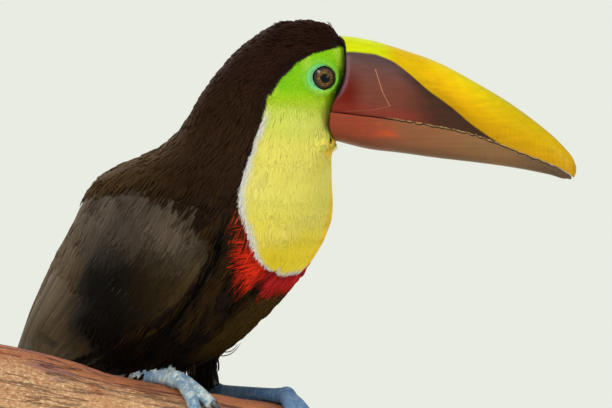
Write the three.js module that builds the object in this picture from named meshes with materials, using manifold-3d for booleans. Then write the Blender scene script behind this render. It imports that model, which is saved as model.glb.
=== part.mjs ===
// A yellow-throated toucan at life size, perched on a cut length of branch on a display stand.
// Millimetres, +Z up, with the origin at the centre of the base's underside.
// The trunk faces -Y and the bird's left side is +X.
// Most shapes are given in "bird" numbers: x to its left, ahead (towards -Y) and height.

import * as THREE from "three";
import { mergeVertices } from "three/addons/utils/BufferGeometryUtils.js";
import Module from "manifold-3d";

const wasm = await Module();
wasm.setup();

const toRadians = THREE.MathUtils.degToRad;

// ---------------------------------------------------------------- driving dimensions

const GAP = 0.3; // clearance between solids that meet

// Where the bird's own origin stands on the base.
const BIRD_X = 12;
const BIRD_AHEAD = 6;

// Display stand.
const BASE_RADIUS = 110;
const BASE_HEIGHT = 14;
const BASE_EDGE = 2;
const ROD_RADIUS = 5;
const ROD_PLACES = { 1: -46, 2: 56 }; // distance along the perch from the right foot

// Perch: a round branch that slopes down ahead of the bird and to its left.
const PERCH_RADIUS = 35;
const PERCH_TOP = 233; // height of its crest under the right foot
const PERCH_SLOPE = toRadians(13);
const PERCH_HEADING = toRadians(42); // from the bird's left, turned ahead
const PERCH_UPHILL = 128; // length behind the right foot
const PERCH_DOWNHILL = 116; // length past it
const PERCH_RIPPLE = 1.3; // how far its surface swells and sinks

// Feet.
const RIGHT_FOOT = { x: -27, ahead: -7 };
const FEET_APART = 73; // along the perch
const TARSUS_LENGTH = 51;
const TARSUS_RADIUS = 4.5;
const ANKLE_RADIUS = 5.4;
const PAD_RADIUS = 6.2;
const TOE_RADIUS = 4.8;
const TOE_TIP_RADIUS = 3.8;
const TOE_START = 3; // where a toe's middle line leaves the pad's centre
const TOE_CLEARANCE = 0.6; // between a toe and the branch, over its ripples
const KNUCKLE = 0.3; // how far the joints of a toe swell
const CLAW_LENGTH = 13;
const CLAW_TAPER = [1, 0.84, 0.63, 0.38, 0.12]; // shares of the claw's radius along it
const CLAW_RADIUS = 2.6;
const CLAW_HEIGHT = 4.2; // middle of a claw's root over the branch
const CLAW_RISE = 1.6;
const CLAW_DROP = 4.4;

// Neck pivot, about which the head turns, and how far it turns to the bird's left.
const PIVOT_AHEAD = 47.6;
const HEAD_TURN = 24;

// Horizontal slices through head, neck and trunk:
// height, back and front measured from the pivot, half width, turn in degrees, fullness.
const BODY_SLICES = [
  [202, -191, -156, 15, 0, 2.0],
  [212, -189, -134, 22, 0, 2.0],
  [222, -186, -106, 29, 0, 2.1],
  [232, -182, -76, 37, 0, 2.1],
  [243, -178, -47, 45, 0, 2.2],
  [254, -174, -32, 52, 0, 2.2],
  [276, -164.5, -6, 56, 0, 2.2],
  [302, -150.5, 19, 58, 0, 2.2],
  [320, -140.5, 31, 58, 0, 2.2],
  [337, -132, 35.5, 56, 0, 2.2],
  [353.5, -114, 35, 51, 6, 2.2],
  [368, -86, 35.5, 42, 13, 2.2],
  [378, -63.5, 35, 33.5, 18, 2.2],
  [389, -56, 37, 30, 22, 2.3],
  [400, -49, 39.5, 28, HEAD_TURN, 2.4],
  [409, -43, 45, 26.5, HEAD_TURN, 2.6],
  [418, -36, 47.5, 25.5, HEAD_TURN, 2.7],
  [431, -25, 47, 23.5, HEAD_TURN, 2.7],
  [441, -13, 41, 19.5, HEAD_TURN, 2.5],
  [447, -3.5, 35.5, 14.5, HEAD_TURN, 2.2],
  [450.2, 7, 29, 8, HEAD_TURN, 2.0],
];
const BODY_RINGS = 24;
const BODY_SIDES = 24;

// Upright slices through the bill, by distance ahead of the pivot: top, bottom, half width.
const BILL_SLICES = [
  [30, 441, 380.5, 21.8],
  [40, 441, 377.5, 21.8],
  [55, 439, 373.8, 20.2],
  [76, 433, 371.2, 17.6],
  [98.5, 425, 368.2, 15],
  [120, 413.6, 365.8, 12.8],
  [142.5, 400, 362.8, 10.4],
  [157, 389.4, 360.2, 8.6],
  [168, 380.2, 357.6, 6.8],
  [174.5, 373.4, 355, 4.8],
  [178.5, 368, 355.6, 2.6],
];
const BILL_TIP = { ahead: 180.3, height: 362 };
const BILL_FULLNESS = 2.3;
const BILL_RINGS = 14;
const BILL_SIDES = 18;
const LOWER_BILL_END = 169;

// The edge where the bill meets the face, and the line where the bill's halves meet.
const FACE_EDGE = [
  [33.5, 452],
  [37.5, 442.5],
  [43, 437],
  [44.3, 430],
  [44.3, 418],
  [41.5, 409],
  [36.5, 400],
  [34.2, 389],
  [35.2, 381],
  [36.5, 376.5],
];
const GAPE_LINE = [
  [28, 397],
  [55, 393],
  [76, 389.3],
  [98.5, 385.7],
  [115, 382.3],
  [132, 376.6],
  [147, 370.8],
  [159, 366.2],
  [LOWER_BILL_END, 361.6],
];

// Eyes, from the pivot.
const EYE_RADIUS = 9.2;
const EYE_AHEAD = 29.9;
const EYE_OUT = 15.4;
const EYE_HEIGHT = 416.6;

// Cut planes between head and neck, and neck and trunk: two points on each, ahead and height.
const HEAD_CUT = { front: [83, 376], back: [0, 399] };
const NECK_CUT = { front: [84, 322], back: [-32, 366] };

// Folded wing: its lower and upper edges, ahead and height, from the shoulder to the tip.
const WING_LOWER = [
  [42, 330],
  [38, 310],
  [18, 286],
  [-22, 260],
  [-78, 236],
  [-148, 202],
];
const WING_UPPER = [
  [42, 330],
  [20, 345],
  [-50, 343],
  [-95, 305],
  [-123, 258],
  [-148, 202],
];
const WING_PROUD = 2.2; // how far it stands out from the body's outline
const WING_THICKNESS = 9;
const WING_TIP_THICKNESS = 3;
const WING_TIP_OUT = 14; // distance of the wing tip from the middle plane
const WING_STEPS_LONG = 12;
const WING_STEPS_ACROSS = 5;

// Tail.
const TAIL_ROOT = { ahead: -115, height: 228 };
const TAIL_PITCH = toRadians(68);
const TAIL_LENGTH = 166;
const TAIL_ROOT_HALF = 19;
const TAIL_END_HALF = 31;
const TAIL_THICKNESS = 9;
const TAIL_END_THICKNESS = 4;
const TAIL_ARCH = 3.5;

// Thighs, from the hip to the ankle.
const HIP = { out: 33, ahead: -38, height: 283 };
const HIP_RADIUS = 24;
const KNEE_RADIUS = 8.8;
const THIGH_TOP_SHARE = 0.62; // its top ring, so that it ends rounded in the body

// ---------------------------------------------------------------- materials

function finish(colour, roughness, metalness = 0) {
  return new THREE.MeshStandardMaterial({ color: colour, roughness, metalness });
}

const BLACK_PLUMAGE = finish(0x1e1612, 0.8);
const NAPE_PLUMAGE = finish(0x2a1612, 0.75);
const BILL_YELLOW = finish(0xe3c60e, 0.35);
const BILL_MAROON = finish(0x6e3a2e, 0.35);
const EYE_DARK = finish(0x1a0f0a, 0.08);
const FOOT_BLUE = finish(0x6b93bd, 0.6);
const CLAW_DARK = finish(0x2a2a30, 0.45);
const BRANCH_BROWN = finish(0x8a4a2a, 0.85);
const BASE_GREY = finish(0x3a3a3c, 0.5);
const ROD_STEEL = finish(0xb8babd, 0.3, 1);

// ---------------------------------------------------------------- solids and meshes

// Puts a point given in bird numbers into the frame.
function place(x, ahead, height) {
  return new THREE.Vector3(x + BIRD_X, -ahead - BIRD_AHEAD, height);
}

// Puts a point given about the neck pivot, turned by an angle, into the frame.
function placeTurned(ahead, left, height, turn) {
  const x = ahead * Math.sin(turn) + left * Math.cos(turn);
  const forward = PIVOT_AHEAD + ahead * Math.cos(turn) - left * Math.sin(turn);
  return place(x, forward, height);
}

// Closes a list of rings, all with the same number of points, into one body.
function skinRings(rings) {
  const sides = rings[0].length;
  const points = rings.flat();
  const firstMiddle = points.length;
  points.push(middleOf(rings[0]), middleOf(rings[rings.length - 1]));
  const faces = [];
  for (let ring = 0; ring + 1 < rings.length; ring++) {
    for (let side = 0; side < sides; side++) {
      const next = (side + 1) % sides;
      const a = ring * sides + side;
      const b = ring * sides + next;
      faces.push(a, b, b + sides, a, b + sides, a + sides);
    }
  }
  const last = (rings.length - 1) * sides;
  for (let side = 0; side < sides; side++) {
    const next = (side + 1) % sides;
    faces.push(firstMiddle, next, side);
    faces.push(firstMiddle + 1, last + side, last + next);
  }
  const geometry = new THREE.BufferGeometry().setFromPoints(points);
  geometry.setIndex(faces);
  return geometry;
}

function middleOf(ring) {
  const middle = new THREE.Vector3();
  ring.forEach((point) => middle.add(point));
  return middle.divideScalar(ring.length);
}

// Makes a solid for joining and cutting, with its faces pointing out.
function solidOf(geometry) {
  const bare = geometry.clone();
  bare.deleteAttribute("normal");
  bare.deleteAttribute("uv");
  const merged = mergeVertices(bare, 1e-4);
  const vertProperties = new Float32Array(merged.attributes.position.array);
  const triVerts = new Uint32Array(merged.index.array);
  if (signedVolume(vertProperties, triVerts) < 0) {
    triVerts.reverse();
  }
  return new wasm.Manifold(new wasm.Mesh({ numProp: 3, vertProperties, triVerts }));
}

function signedVolume(positions, faces) {
  const corner = [new THREE.Vector3(), new THREE.Vector3(), new THREE.Vector3()];
  let volume = 0;
  for (let face = 0; face < faces.length; face += 3) {
    corner.forEach((point, index) => point.fromArray(positions, faces[face + index] * 3));
    volume += corner[0].dot(corner[1].cross(corner[2])) / 6;
  }
  return volume;
}

// Keeps the largest body, so that a cut leaves no crumbs.
function largest(solid) {
  const bodies = solid.decompose();
  bodies.sort((a, b) => b.volume() - a.volume());
  return bodies[0];
}

function meshOf(name, solid, material) {
  const { vertProperties, triVerts } = largest(solid).getMesh();
  const geometry = new THREE.BufferGeometry();
  geometry.setAttribute("position", new THREE.BufferAttribute(vertProperties, 3));
  geometry.setIndex(new THREE.BufferAttribute(triVerts, 1));
  geometry.computeVertexNormals();
  const mesh = new THREE.Mesh(geometry, material);
  mesh.name = name;
  return mesh;
}

// One coordinate of a superellipse, from the cosine or sine of its angle.
function rounded(value, fullness) {
  return Math.sign(value) * Math.abs(value) ** (2 / fullness);
}

// Reads a table whose first column rises, with smooth curves between its rows.
function tableReader(rows) {
  const keys = rows.map((row) => row[0]);
  const values = rows.flatMap((row) => row.slice(1));
  const reader = new THREE.CubicInterpolant(keys, values, rows[0].length - 1);
  return (key) => Array.from(reader.evaluate(key));
}

// A round tube along a list of points, with a radius for each.
function tube(points, radii, sides) {
  const side = new THREE.Vector3();
  const rings = points.map((point, index) => {
    const before = points[Math.max(index - 1, 0)];
    const after = points[Math.min(index + 1, points.length - 1)];
    const along = after.clone().sub(before).normalize();
    if (index === 0) {
      side.set(0, 0, 1).cross(along);
    }
    side.addScaledVector(along, -side.dot(along)).normalize();
    const up = along.clone().cross(side);
    return Array.from({ length: sides }, (unused, step) => {
      const angle = (step / sides) * 2 * Math.PI;
      const ringPoint = point.clone();
      ringPoint.addScaledVector(side, Math.cos(angle) * radii[index]);
      ringPoint.addScaledVector(up, Math.sin(angle) * radii[index]);
      return ringPoint;
    });
  });
  return solidOf(skinRings(rings));
}

// A block that fills an outline seen from the side, in the head's own directions.
function headPrism(outline, halfWidth) {
  const turn = toRadians(HEAD_TURN);
  const contour = outline.map(([ahead, height]) => new THREE.Vector2(ahead, height));
  if (THREE.ShapeUtils.isClockWise(contour)) {
    contour.reverse();
  }
  const points = [-halfWidth, halfWidth].flatMap((left) =>
    contour.map(({ x: ahead, y: height }) => placeTurned(ahead, left, height, turn)),
  );
  const sides = contour.length;
  const faces = [];
  for (const [a, b, c] of THREE.ShapeUtils.triangulateShape(contour, [])) {
    faces.push(a, b, c, c + sides, b + sides, a + sides);
  }
  for (let side = 0; side < sides; side++) {
    const next = (side + 1) % sides;
    faces.push(next, side, side + sides, next, side + sides, next + sides);
  }
  const geometry = new THREE.BufferGeometry().setFromPoints(points);
  geometry.setIndex(faces);
  return solidOf(geometry);
}

// ---------------------------------------------------------------- head, neck and trunk

const readBodySlice = tableReader(BODY_SLICES);

// One slice of the body, as its middle, half length, half width, turn and fullness.
function bodySlice(height) {
  const [back, front, halfWidth, turn, fullness] = readBodySlice(height);
  return {
    middle: (back + front) / 2,
    halfLength: (front - back) / 2,
    halfWidth,
    turn: toRadians(turn),
    fullness,
  };
}

function bodySolid(grow) {
  const lowest = BODY_SLICES[0][0];
  const highest = BODY_SLICES[BODY_SLICES.length - 1][0];
  const rings = [];
  for (let ring = 0; ring <= BODY_RINGS; ring++) {
    const share = 1 - (1 - ring / BODY_RINGS) ** 1.35;
    const height = lowest + (highest - lowest) * share;
    const slice = bodySlice(height);
    const lift = ring === 0 ? -grow : ring === BODY_RINGS ? grow : 0;
    rings.push(
      Array.from({ length: BODY_SIDES }, (unused, step) => {
        const angle = ((step + 0.5) / BODY_SIDES) * 2 * Math.PI;
        const ahead = slice.middle + (slice.halfLength + grow) * rounded(Math.cos(angle), slice.fullness);
        const left = (slice.halfWidth + grow) * rounded(Math.sin(angle), slice.fullness);
        return placeTurned(ahead, left, height + lift, slice.turn);
      }),
    );
  }
  return solidOf(skinRings(rings));
}

// How far the body's left (1) or right (-1) side lies from the middle plane, at a place seen
// from the side. A slice's turn about the pivot swings its back to the bird's right.
function bodySide(side, ahead, height) {
  const slice = bodySlice(height);
  const fromPivot = ahead - PIVOT_AHEAD;
  const share = Math.min(Math.abs((fromPivot - slice.middle) / slice.halfLength), 1);
  const half = slice.halfWidth * (1 - share ** slice.fullness) ** (1 / slice.fullness);
  return Math.max(half + side * fromPivot * Math.sin(slice.turn), 0);
}

// Cuts along a plane square to the middle plane, and returns what lies above and below it.
function cutBetween(solid, { front, back }) {
  const slope = new THREE.Vector3(0, -(front[0] - back[0]), front[1] - back[1]).normalize();
  const normal = slope.clone().cross(new THREE.Vector3(1, 0, 0)).normalize();
  if (normal.z < 0) {
    normal.negate();
  }
  const distance = normal.dot(place(0, front[0], front[1]));
  return {
    above: solid.trimByPlane(normal.toArray(), distance + GAP / 2),
    below: solid.trimByPlane(normal.clone().negate().toArray(), -distance + GAP / 2),
  };
}

// ---------------------------------------------------------------- bill and eyes

const readBillSlice = tableReader(BILL_SLICES);

function billSolid() {
  const first = BILL_SLICES[0][0];
  const last = BILL_SLICES[BILL_SLICES.length - 1][0];
  const turn = toRadians(HEAD_TURN);
  const rings = [];
  for (let ring = 0; ring <= BILL_RINGS; ring++) {
    const ahead = first + (last - first) * Math.sin((ring / BILL_RINGS) * (Math.PI / 2));
    const [top, bottom, halfWidth] = readBillSlice(ahead);
    const halfHeight = (top - bottom) / 2;
    rings.push(
      Array.from({ length: BILL_SIDES }, (unused, step) => {
        const angle = ((step + 0.5) / BILL_SIDES) * 2 * Math.PI;
        const left = halfWidth * rounded(Math.cos(angle), BILL_FULLNESS);
        const height = bottom + halfHeight + halfHeight * rounded(Math.sin(angle), BILL_FULLNESS);
        return placeTurned(ahead, left, height, turn);
      }),
    );
  }
  const tip = Array.from({ length: BILL_SIDES }, (unused, step) => {
    const angle = ((step + 0.5) / BILL_SIDES) * 2 * Math.PI;
    const height = BILL_TIP.height + 2 * Math.sin(angle);
    return placeTurned(BILL_TIP.ahead, 0.6 * Math.cos(angle), height, turn);
  });
  rings.push(tip);
  return solidOf(skinRings(rings));
}

// Everything ahead of the face's edge.
function aheadOfFace(shift) {
  const edge = FACE_EDGE.map(([ahead, height]) => [ahead + shift, height]);
  return headPrism([[220, 460 + shift], ...edge, [220, 340 - shift]], 60);
}

// Everything under the gape line, as far as the lower bill reaches.
function belowGape(grow) {
  const line = GAPE_LINE.map(([ahead, height]) => [ahead, height + grow]);
  line[line.length - 1][0] += grow;
  return headPrism([...line, [LOWER_BILL_END + grow, 330], [10, 330]], 60);
}

function eyeSolid(side, grow) {
  const centre = placeTurned(EYE_AHEAD, side * EYE_OUT, EYE_HEIGHT, toRadians(HEAD_TURN));
  const ball = new THREE.SphereGeometry(EYE_RADIUS + grow, 12, 8);
  ball.translate(centre.x, centre.y, centre.z);
  return solidOf(ball);
}

// ---------------------------------------------------------------- wings and tail

function curveOf(outline) {
  return new THREE.CatmullRomCurve3(outline.map(([ahead, height]) => new THREE.Vector3(ahead, height, 0)));
}

// A folded wing: a leaf-shaped shell that wraps the trunk's side and ends beside the tail.
function wingSolid(side, grow) {
  const lower = curveOf(WING_LOWER);
  const upper = curveOf(WING_UPPER);
  const rings = [];
  for (let step = 0; step <= WING_STEPS_LONG; step++) {
    const along = step / WING_STEPS_LONG;
    const from = lower.getPoint(0.015 + 0.97 * along);
    const to = upper.getPoint(0.015 + 0.97 * along);
    const fullThickness = THREE.MathUtils.lerp(WING_THICKNESS, WING_TIP_THICKNESS, along);
    const outer = [];
    const inner = [];
    for (let across = 0; across <= WING_STEPS_ACROSS; across++) {
      const share = across / WING_STEPS_ACROSS;
      const spot = from.clone().lerp(to, share);
      spot.add(to.clone().sub(from).setLength((share * 2 - 1) * grow));
      const edge = 1 - Math.abs(share * 2 - 1) ** 3;
      const thickness = fullThickness * (0.3 + 0.7 * edge);
      const tipOut = WING_TIP_OUT * Math.min(1, 0.2 + along);
      const out = (bodySide(side, spot.x, spot.y) ** 6 + tipOut ** 6) ** (1 / 6);
      const axis = PIVOT_AHEAD + bodySlice(spot.y).middle;
      const inwards = new THREE.Vector2(-out, axis - spot.x).normalize();
      const rise = WING_PROUD + grow;
      const depth = thickness + grow;
      outer.push([out - inwards.x * rise, spot.x - inwards.y * rise, spot.y]);
      inner.unshift([out + inwards.x * depth, spot.x + inwards.y * depth, spot.y]);
    }
    rings.push([...outer, ...inner].map(([x, ahead, height]) => place(side * x, ahead, height)));
  }
  return solidOf(skinRings(rings));
}

// The closed tail: a long arched blade with a rounded end.
function tailSolid() {
  const steps = 10;
  const sides = 12;
  const roundFrom = 0.8;
  const fullness = 2.4;
  const rings = [];
  for (let step = 0; step <= steps; step++) {
    const along = Math.sin((step / steps) * (Math.PI / 2));
    const end = Math.max(0, (along - roundFrom) / (1 - roundFrom));
    const roundEnd = Math.sqrt(Math.max(0.03, 1 - end ** fullness));
    const half = THREE.MathUtils.lerp(TAIL_ROOT_HALF, TAIL_END_HALF, along) * roundEnd;
    const thick = THREE.MathUtils.lerp(TAIL_THICKNESS, TAIL_END_THICKNESS, along) / 2;
    const ahead = TAIL_ROOT.ahead - Math.cos(TAIL_PITCH) * TAIL_LENGTH * along;
    const height = TAIL_ROOT.height - Math.sin(TAIL_PITCH) * TAIL_LENGTH * along;
    rings.push(
      Array.from({ length: sides }, (unused, index) => {
        const angle = ((index + 0.5) / sides) * 2 * Math.PI;
        const left = half * rounded(Math.cos(angle), fullness);
        const arch = -TAIL_ARCH * (left / TAIL_END_HALF) ** 2;
        const out = thick * rounded(Math.sin(angle), fullness) + arch;
        return place(left, ahead - Math.sin(TAIL_PITCH) * out, height + Math.cos(TAIL_PITCH) * out);
      }),
    );
  }
  return solidOf(skinRings(rings));
}

// ---------------------------------------------------------------- perch

// A point on or over the perch: distance along it from the right foot, angle from its crest
// (positive towards the bird's front and right) and height over its surface.
function perchPoint(along, angle, lift) {
  const level = along * Math.cos(PERCH_SLOPE);
  const axisHeight = PERCH_TOP - PERCH_RADIUS / Math.cos(PERCH_SLOPE) - along * Math.sin(PERCH_SLOPE);
  const radius = PERCH_RADIUS + lift;
  const outwards = radius * Math.sin(angle);
  const upwards = radius * Math.cos(angle);
  const x = RIGHT_FOOT.x + level * Math.cos(PERCH_HEADING) - outwards * Math.sin(PERCH_HEADING);
  const ahead = RIGHT_FOOT.ahead + level * Math.sin(PERCH_HEADING) + outwards * Math.cos(PERCH_HEADING);
  return place(x, ahead, axisHeight + upwards);
}

function ripple(along, angle) {
  return PERCH_RIPPLE * Math.sin(along / 17 + 2 * angle) * Math.sin(3 * angle + 0.6);
}

function perchSolid(grow) {
  const steps = 8;
  const sides = 16;
  const rings = [];
  for (let step = 0; step <= steps; step++) {
    const along = -PERCH_UPHILL - grow + ((PERCH_UPHILL + PERCH_DOWNHILL + 2 * grow) * step) / steps;
    rings.push(
      Array.from({ length: sides }, (unused, index) => {
        const angle = (index / sides) * 2 * Math.PI;
        return perchPoint(along, angle, ripple(along, angle) + grow);
      }),
    );
  }
  return solidOf(skinRings(rings));
}

// ---------------------------------------------------------------- legs and feet

// Each toe: which way it heads from the pad (degrees from the perch's downhill), and its length.
const TOES = {
  right: { inner: [60, 34], outer: [82, 38], back_inner: [276, 27], back_outer: [236, 36] },
  left: { inner: [74, 35], outer: [100, 42], back_inner: [284, 27], back_outer: [240, 36] },
};

// A toe's middle line over the perch, from one reach from the pad's centre to another.
function toePath(footAlong, heading, from, to, steps, liftAt) {
  return Array.from({ length: steps + 1 }, (unused, step) => {
    const reach = from + ((to - from) * step) / steps;
    const angle = (reach * Math.sin(heading)) / (PERCH_RADIUS + TOE_RADIUS);
    return perchPoint(footAlong + reach * Math.cos(heading), angle, liftAt(reach));
  });
}

function toeSolid(side, [degrees, length], grow) {
  const steps = 3;
  const radii = Array.from({ length: steps + 1 }, (unused, step) => {
    const knuckle = KNUCKLE * Math.cos((step / steps) * 4 * Math.PI);
    return THREE.MathUtils.lerp(TOE_RADIUS, TOE_TIP_RADIUS, step / steps) + knuckle + grow;
  });
  const sole = TOE_CLEARANCE - TOE_SINK[side];
  const lift = (reach) => THREE.MathUtils.lerp(TOE_RADIUS, TOE_TIP_RADIUS, reach / length) + sole;
  return tube(toePath(FOOT_ALONG[side], toRadians(degrees), TOE_START - grow, length + grow, steps, lift), radii, 7);
}

// A claw leaves the toe's end in line, then bends down to prick the bark.
function clawSolid(footAlong, [degrees, length], grow) {
  const steps = CLAW_TAPER.length - 1;
  const radii = CLAW_TAPER.map((share) => CLAW_RADIUS * share + grow * 1.6);
  const start = length + GAP;
  const lift = (reach) => {
    const share = (reach - start) / CLAW_LENGTH;
    return CLAW_HEIGHT + CLAW_RISE * Math.sin(share * Math.PI * 0.9) - CLAW_DROP * share ** 2;
  };
  const end = start + CLAW_LENGTH;
  return tube(toePath(footAlong, toRadians(degrees), start - grow, end + grow, steps, lift), radii, 6);
}

function padCentre(side) {
  return perchPoint(FOOT_ALONG[side], PAD_TURN[side], PAD_LIFT[side]);
}

// The bare shank with its ankle and the pad that the toes spring from.
function tarsusSolid(side, grow) {
  const ankle = ANKLES[side];
  const pad = padCentre(side);
  const steps = 6;
  const points = [];
  const radii = [];
  for (let step = 0; step <= steps; step++) {
    const share = step / steps;
    points.push(ankle.clone().lerp(pad, share));
    const swell = Math.abs(share * 2 - 1) ** 4;
    const endRadius = share < 0.5 ? ANKLE_RADIUS : PAD_RADIUS * 0.8;
    radii.push(THREE.MathUtils.lerp(TARSUS_RADIUS, endRadius, swell) + grow);
  }
  const ball = new THREE.SphereGeometry(PAD_RADIUS + grow, 10, 7);
  ball.translate(pad.x, pad.y, pad.z);
  return tube(points, radii, 8).add(solidOf(ball));
}

// The feathered thigh, from the hip down to the ankle.
function thighSolid(side, ankle, grow) {
  const hip = place(side * HIP.out, HIP.ahead, HIP.height);
  const steps = 7;
  const points = [];
  const radii = [];
  for (let step = 0; step <= steps; step++) {
    const share = step / steps;
    points.push(hip.clone().lerp(ankle, share));
    const taper = THREE.MathUtils.lerp(HIP_RADIUS, KNEE_RADIUS, THREE.MathUtils.smoothstep(share, 0, 1));
    const dome = step === 0 ? THIGH_TOP_SHARE : 1;
    radii.push(taper * dome + grow);
  }
  return tube(points, radii, 12);
}

const ANKLES = {
  right: place(RIGHT_FOOT.x - 1, RIGHT_FOOT.ahead - TARSUS_LENGTH, 237),
  left: place(27, -16, 222),
};
const FOOT_ALONG = { right: 0, left: FEET_APART };
// How far round from the crest each pad's centre lies, how high over the wood, and how far the
// soft toes sink into it.
const PAD_TURN = { right: 0.14, left: 0 };
const PAD_LIFT = { right: 2.6, left: 6.2 };
const TOE_SINK = { right: 2, left: 0 };
const SIDES = { left: 1, right: -1 };

// ---------------------------------------------------------------- stand

function baseGeometry() {
  const profile = [
    [0, 0],
    [BASE_RADIUS - BASE_EDGE, 0],
    [BASE_RADIUS, BASE_EDGE],
    [BASE_RADIUS, BASE_HEIGHT - BASE_EDGE],
    [BASE_RADIUS - BASE_EDGE, BASE_HEIGHT],
    [0, BASE_HEIGHT],
  ].map(([radius, height]) => new THREE.Vector2(radius, height));
  return new THREE.LatheGeometry(profile, 32).rotateX(Math.PI / 2);
}

function rodSolid(along) {
  const foot = perchPoint(along, 0, 0);
  const bottom = BASE_HEIGHT + GAP;
  const top = foot.z - PERCH_RADIUS;
  const rod = new THREE.CylinderGeometry(ROD_RADIUS, ROD_RADIUS, top - bottom, 12);
  rod.rotateX(Math.PI / 2);
  rod.translate(foot.x, foot.y, (top + bottom) / 2);
  return solidOf(rod);
}

// ---------------------------------------------------------------- assembly

const toucan = new THREE.Group();

function add(name, solid, material) {
  toucan.add(meshOf(name, solid, material));
}

// Feet first: each solid is cut by those before it, and all of them cut into what they touch.
let feetGrown = null;
for (const side of Object.keys(SIDES)) {
  const along = FOOT_ALONG[side];
  let taken = tarsusSolid(side, GAP);
  add(`tarsus_${side}`, tarsusSolid(side, 0), FOOT_BLUE);
  for (const [toe, shape] of Object.entries(TOES[side])) {
    add(`toe_${side}_${toe}`, toeSolid(side, shape, 0).subtract(taken), FOOT_BLUE);
    taken = taken.add(toeSolid(side, shape, GAP));
    add(`claw_${side}_${toe}`, clawSolid(along, shape, 0).subtract(taken), CLAW_DARK);
    taken = taken.add(clawSolid(along, shape, GAP));
  }
  feetGrown = feetGrown ? feetGrown.add(taken) : taken;
}
const perchGrown = perchSolid(GAP);
const feetAndPerchGrown = feetGrown.add(perchGrown);
add("perch", perchSolid(0).subtract(feetGrown), BRANCH_BROWN);

// Wings and thighs, and with the feet and perch all that cuts into the trunk.
let trunkCutter = feetAndPerchGrown;
let tailCutter = bodySolid(GAP).add(perchGrown);
for (const [side, sign] of Object.entries(SIDES)) {
  const wingGrown = wingSolid(sign, GAP);
  const thigh = thighSolid(sign, ANKLES[side], 0).subtract(wingGrown).subtract(feetAndPerchGrown);
  add(`wing_${side}`, wingSolid(sign, 0).subtract(feetAndPerchGrown), BLACK_PLUMAGE);
  add(`thigh_${side}`, thigh, BLACK_PLUMAGE);
  trunkCutter = trunkCutter.add(wingGrown).add(thighSolid(sign, ANKLES[side], GAP));
  tailCutter = tailCutter.add(wingGrown);
}

const body = bodySolid(0);
const bodyHead = cutBetween(body, HEAD_CUT);
const bodyNeck = cutBetween(bodyHead.below, NECK_CUT);
const eyesGrown = eyeSolid(SIDES.left, GAP).add(eyeSolid(SIDES.right, GAP));
add("head", bodyHead.above.subtract(aheadOfFace(-GAP)).subtract(eyesGrown), NAPE_PLUMAGE);
add("neck", bodyNeck.above.subtract(trunkCutter), BLACK_PLUMAGE);
add("trunk", bodyNeck.below.subtract(trunkCutter), BLACK_PLUMAGE);
add("tail", tailSolid().subtract(tailCutter), BLACK_PLUMAGE);

const bill = billSolid().intersect(aheadOfFace(0));
add("bill_upper", bill.subtract(belowGape(GAP)), BILL_YELLOW);
add("bill_lower", bill.intersect(belowGape(0)), BILL_MAROON);
add("eye_left", eyeSolid(SIDES.left, 0), EYE_DARK);
add("eye_right", eyeSolid(SIDES.right, 0), EYE_DARK);

add("stand_base", solidOf(baseGeometry()), BASE_GREY);
for (const [number, along] of Object.entries(ROD_PLACES)) {
  add(`stand_rod_${number}`, rodSolid(along).subtract(perchGrown), ROD_STEEL);
}

export default toucan;
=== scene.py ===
# %% [markdown]
# # A yellow-throated toucan on its perch
#
# This lesson rebuilds the looks of a life-size museum toucan around a fixed CAD frame.
# The CAD part gives every size and place. Blender adds what the eye enjoys: one skin,
# feathers that lie the way a bird wears them, a satin bill, a wet eye and weathered wood.
# All lengths are metres unless a name ends in _MM.

# %% The tools and the fixed frame
import math
from functools import partial

import bmesh
import bpy
import numpy as np
from mathutils import Matrix, Vector
from mathutils.bvhtree import BVHTree


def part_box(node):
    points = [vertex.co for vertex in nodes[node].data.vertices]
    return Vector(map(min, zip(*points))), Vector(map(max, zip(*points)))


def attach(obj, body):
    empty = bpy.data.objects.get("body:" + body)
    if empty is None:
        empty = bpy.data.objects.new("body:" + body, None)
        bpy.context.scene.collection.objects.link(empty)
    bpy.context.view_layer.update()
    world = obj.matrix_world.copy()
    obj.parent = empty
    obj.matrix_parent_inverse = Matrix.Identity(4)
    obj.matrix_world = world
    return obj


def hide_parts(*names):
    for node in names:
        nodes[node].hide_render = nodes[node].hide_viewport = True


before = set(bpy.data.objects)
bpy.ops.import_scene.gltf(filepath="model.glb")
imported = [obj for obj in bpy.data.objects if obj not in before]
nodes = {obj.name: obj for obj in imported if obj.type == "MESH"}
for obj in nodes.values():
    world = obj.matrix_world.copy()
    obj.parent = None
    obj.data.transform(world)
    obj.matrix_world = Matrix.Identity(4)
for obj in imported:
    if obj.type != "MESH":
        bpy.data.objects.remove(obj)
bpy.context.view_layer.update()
MM = 0.001
print("CAD nodes:", len(nodes))

# %% [markdown]
# ## Helpers for nodes and colours
# Every material and every Geometry Nodes tree is a graph. One small function adds a node,
# sets its options, and fills or links its inputs. Inputs are given by place or by name, and
# a node given as a value links its first output. Each new tree comes with `add`, which is
# that function for the tree in hand. People write colours as sRGB hex values, and `linear`
# turns them into the linear numbers that shaders expect.

# %% Add a node, and read a colour
def linear(hex_code):
    parts = np.array([int(hex_code[i : i + 2], 16) for i in (1, 3, 5)]) / 255
    low, high = parts / 12.92, ((parts + 0.055) / 1.055) ** 2.4
    return np.where(parts <= 0.04045, low, high)


def fill(made, inputs):
    """Fills or links a node's inputs, from a dict by name or from a sequence by place."""
    shown = [socket for socket in made.inputs if socket.enabled]
    named = {socket.name: socket for socket in shown}
    for key, value in inputs.items() if isinstance(inputs, dict) else enumerate(inputs):
        socket = named[key] if isinstance(key, str) else shown[key]
        if isinstance(value, bpy.types.Node):
            value = next(output for output in value.outputs if output.enabled)
        if isinstance(value, str) and value.startswith("#"):
            value = (*linear(value).tolist(), 1.0)
        if isinstance(value, bpy.types.NodeSocket):
            made.id_data.links.new(value, socket)
        else:
            socket.default_value = value


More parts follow.
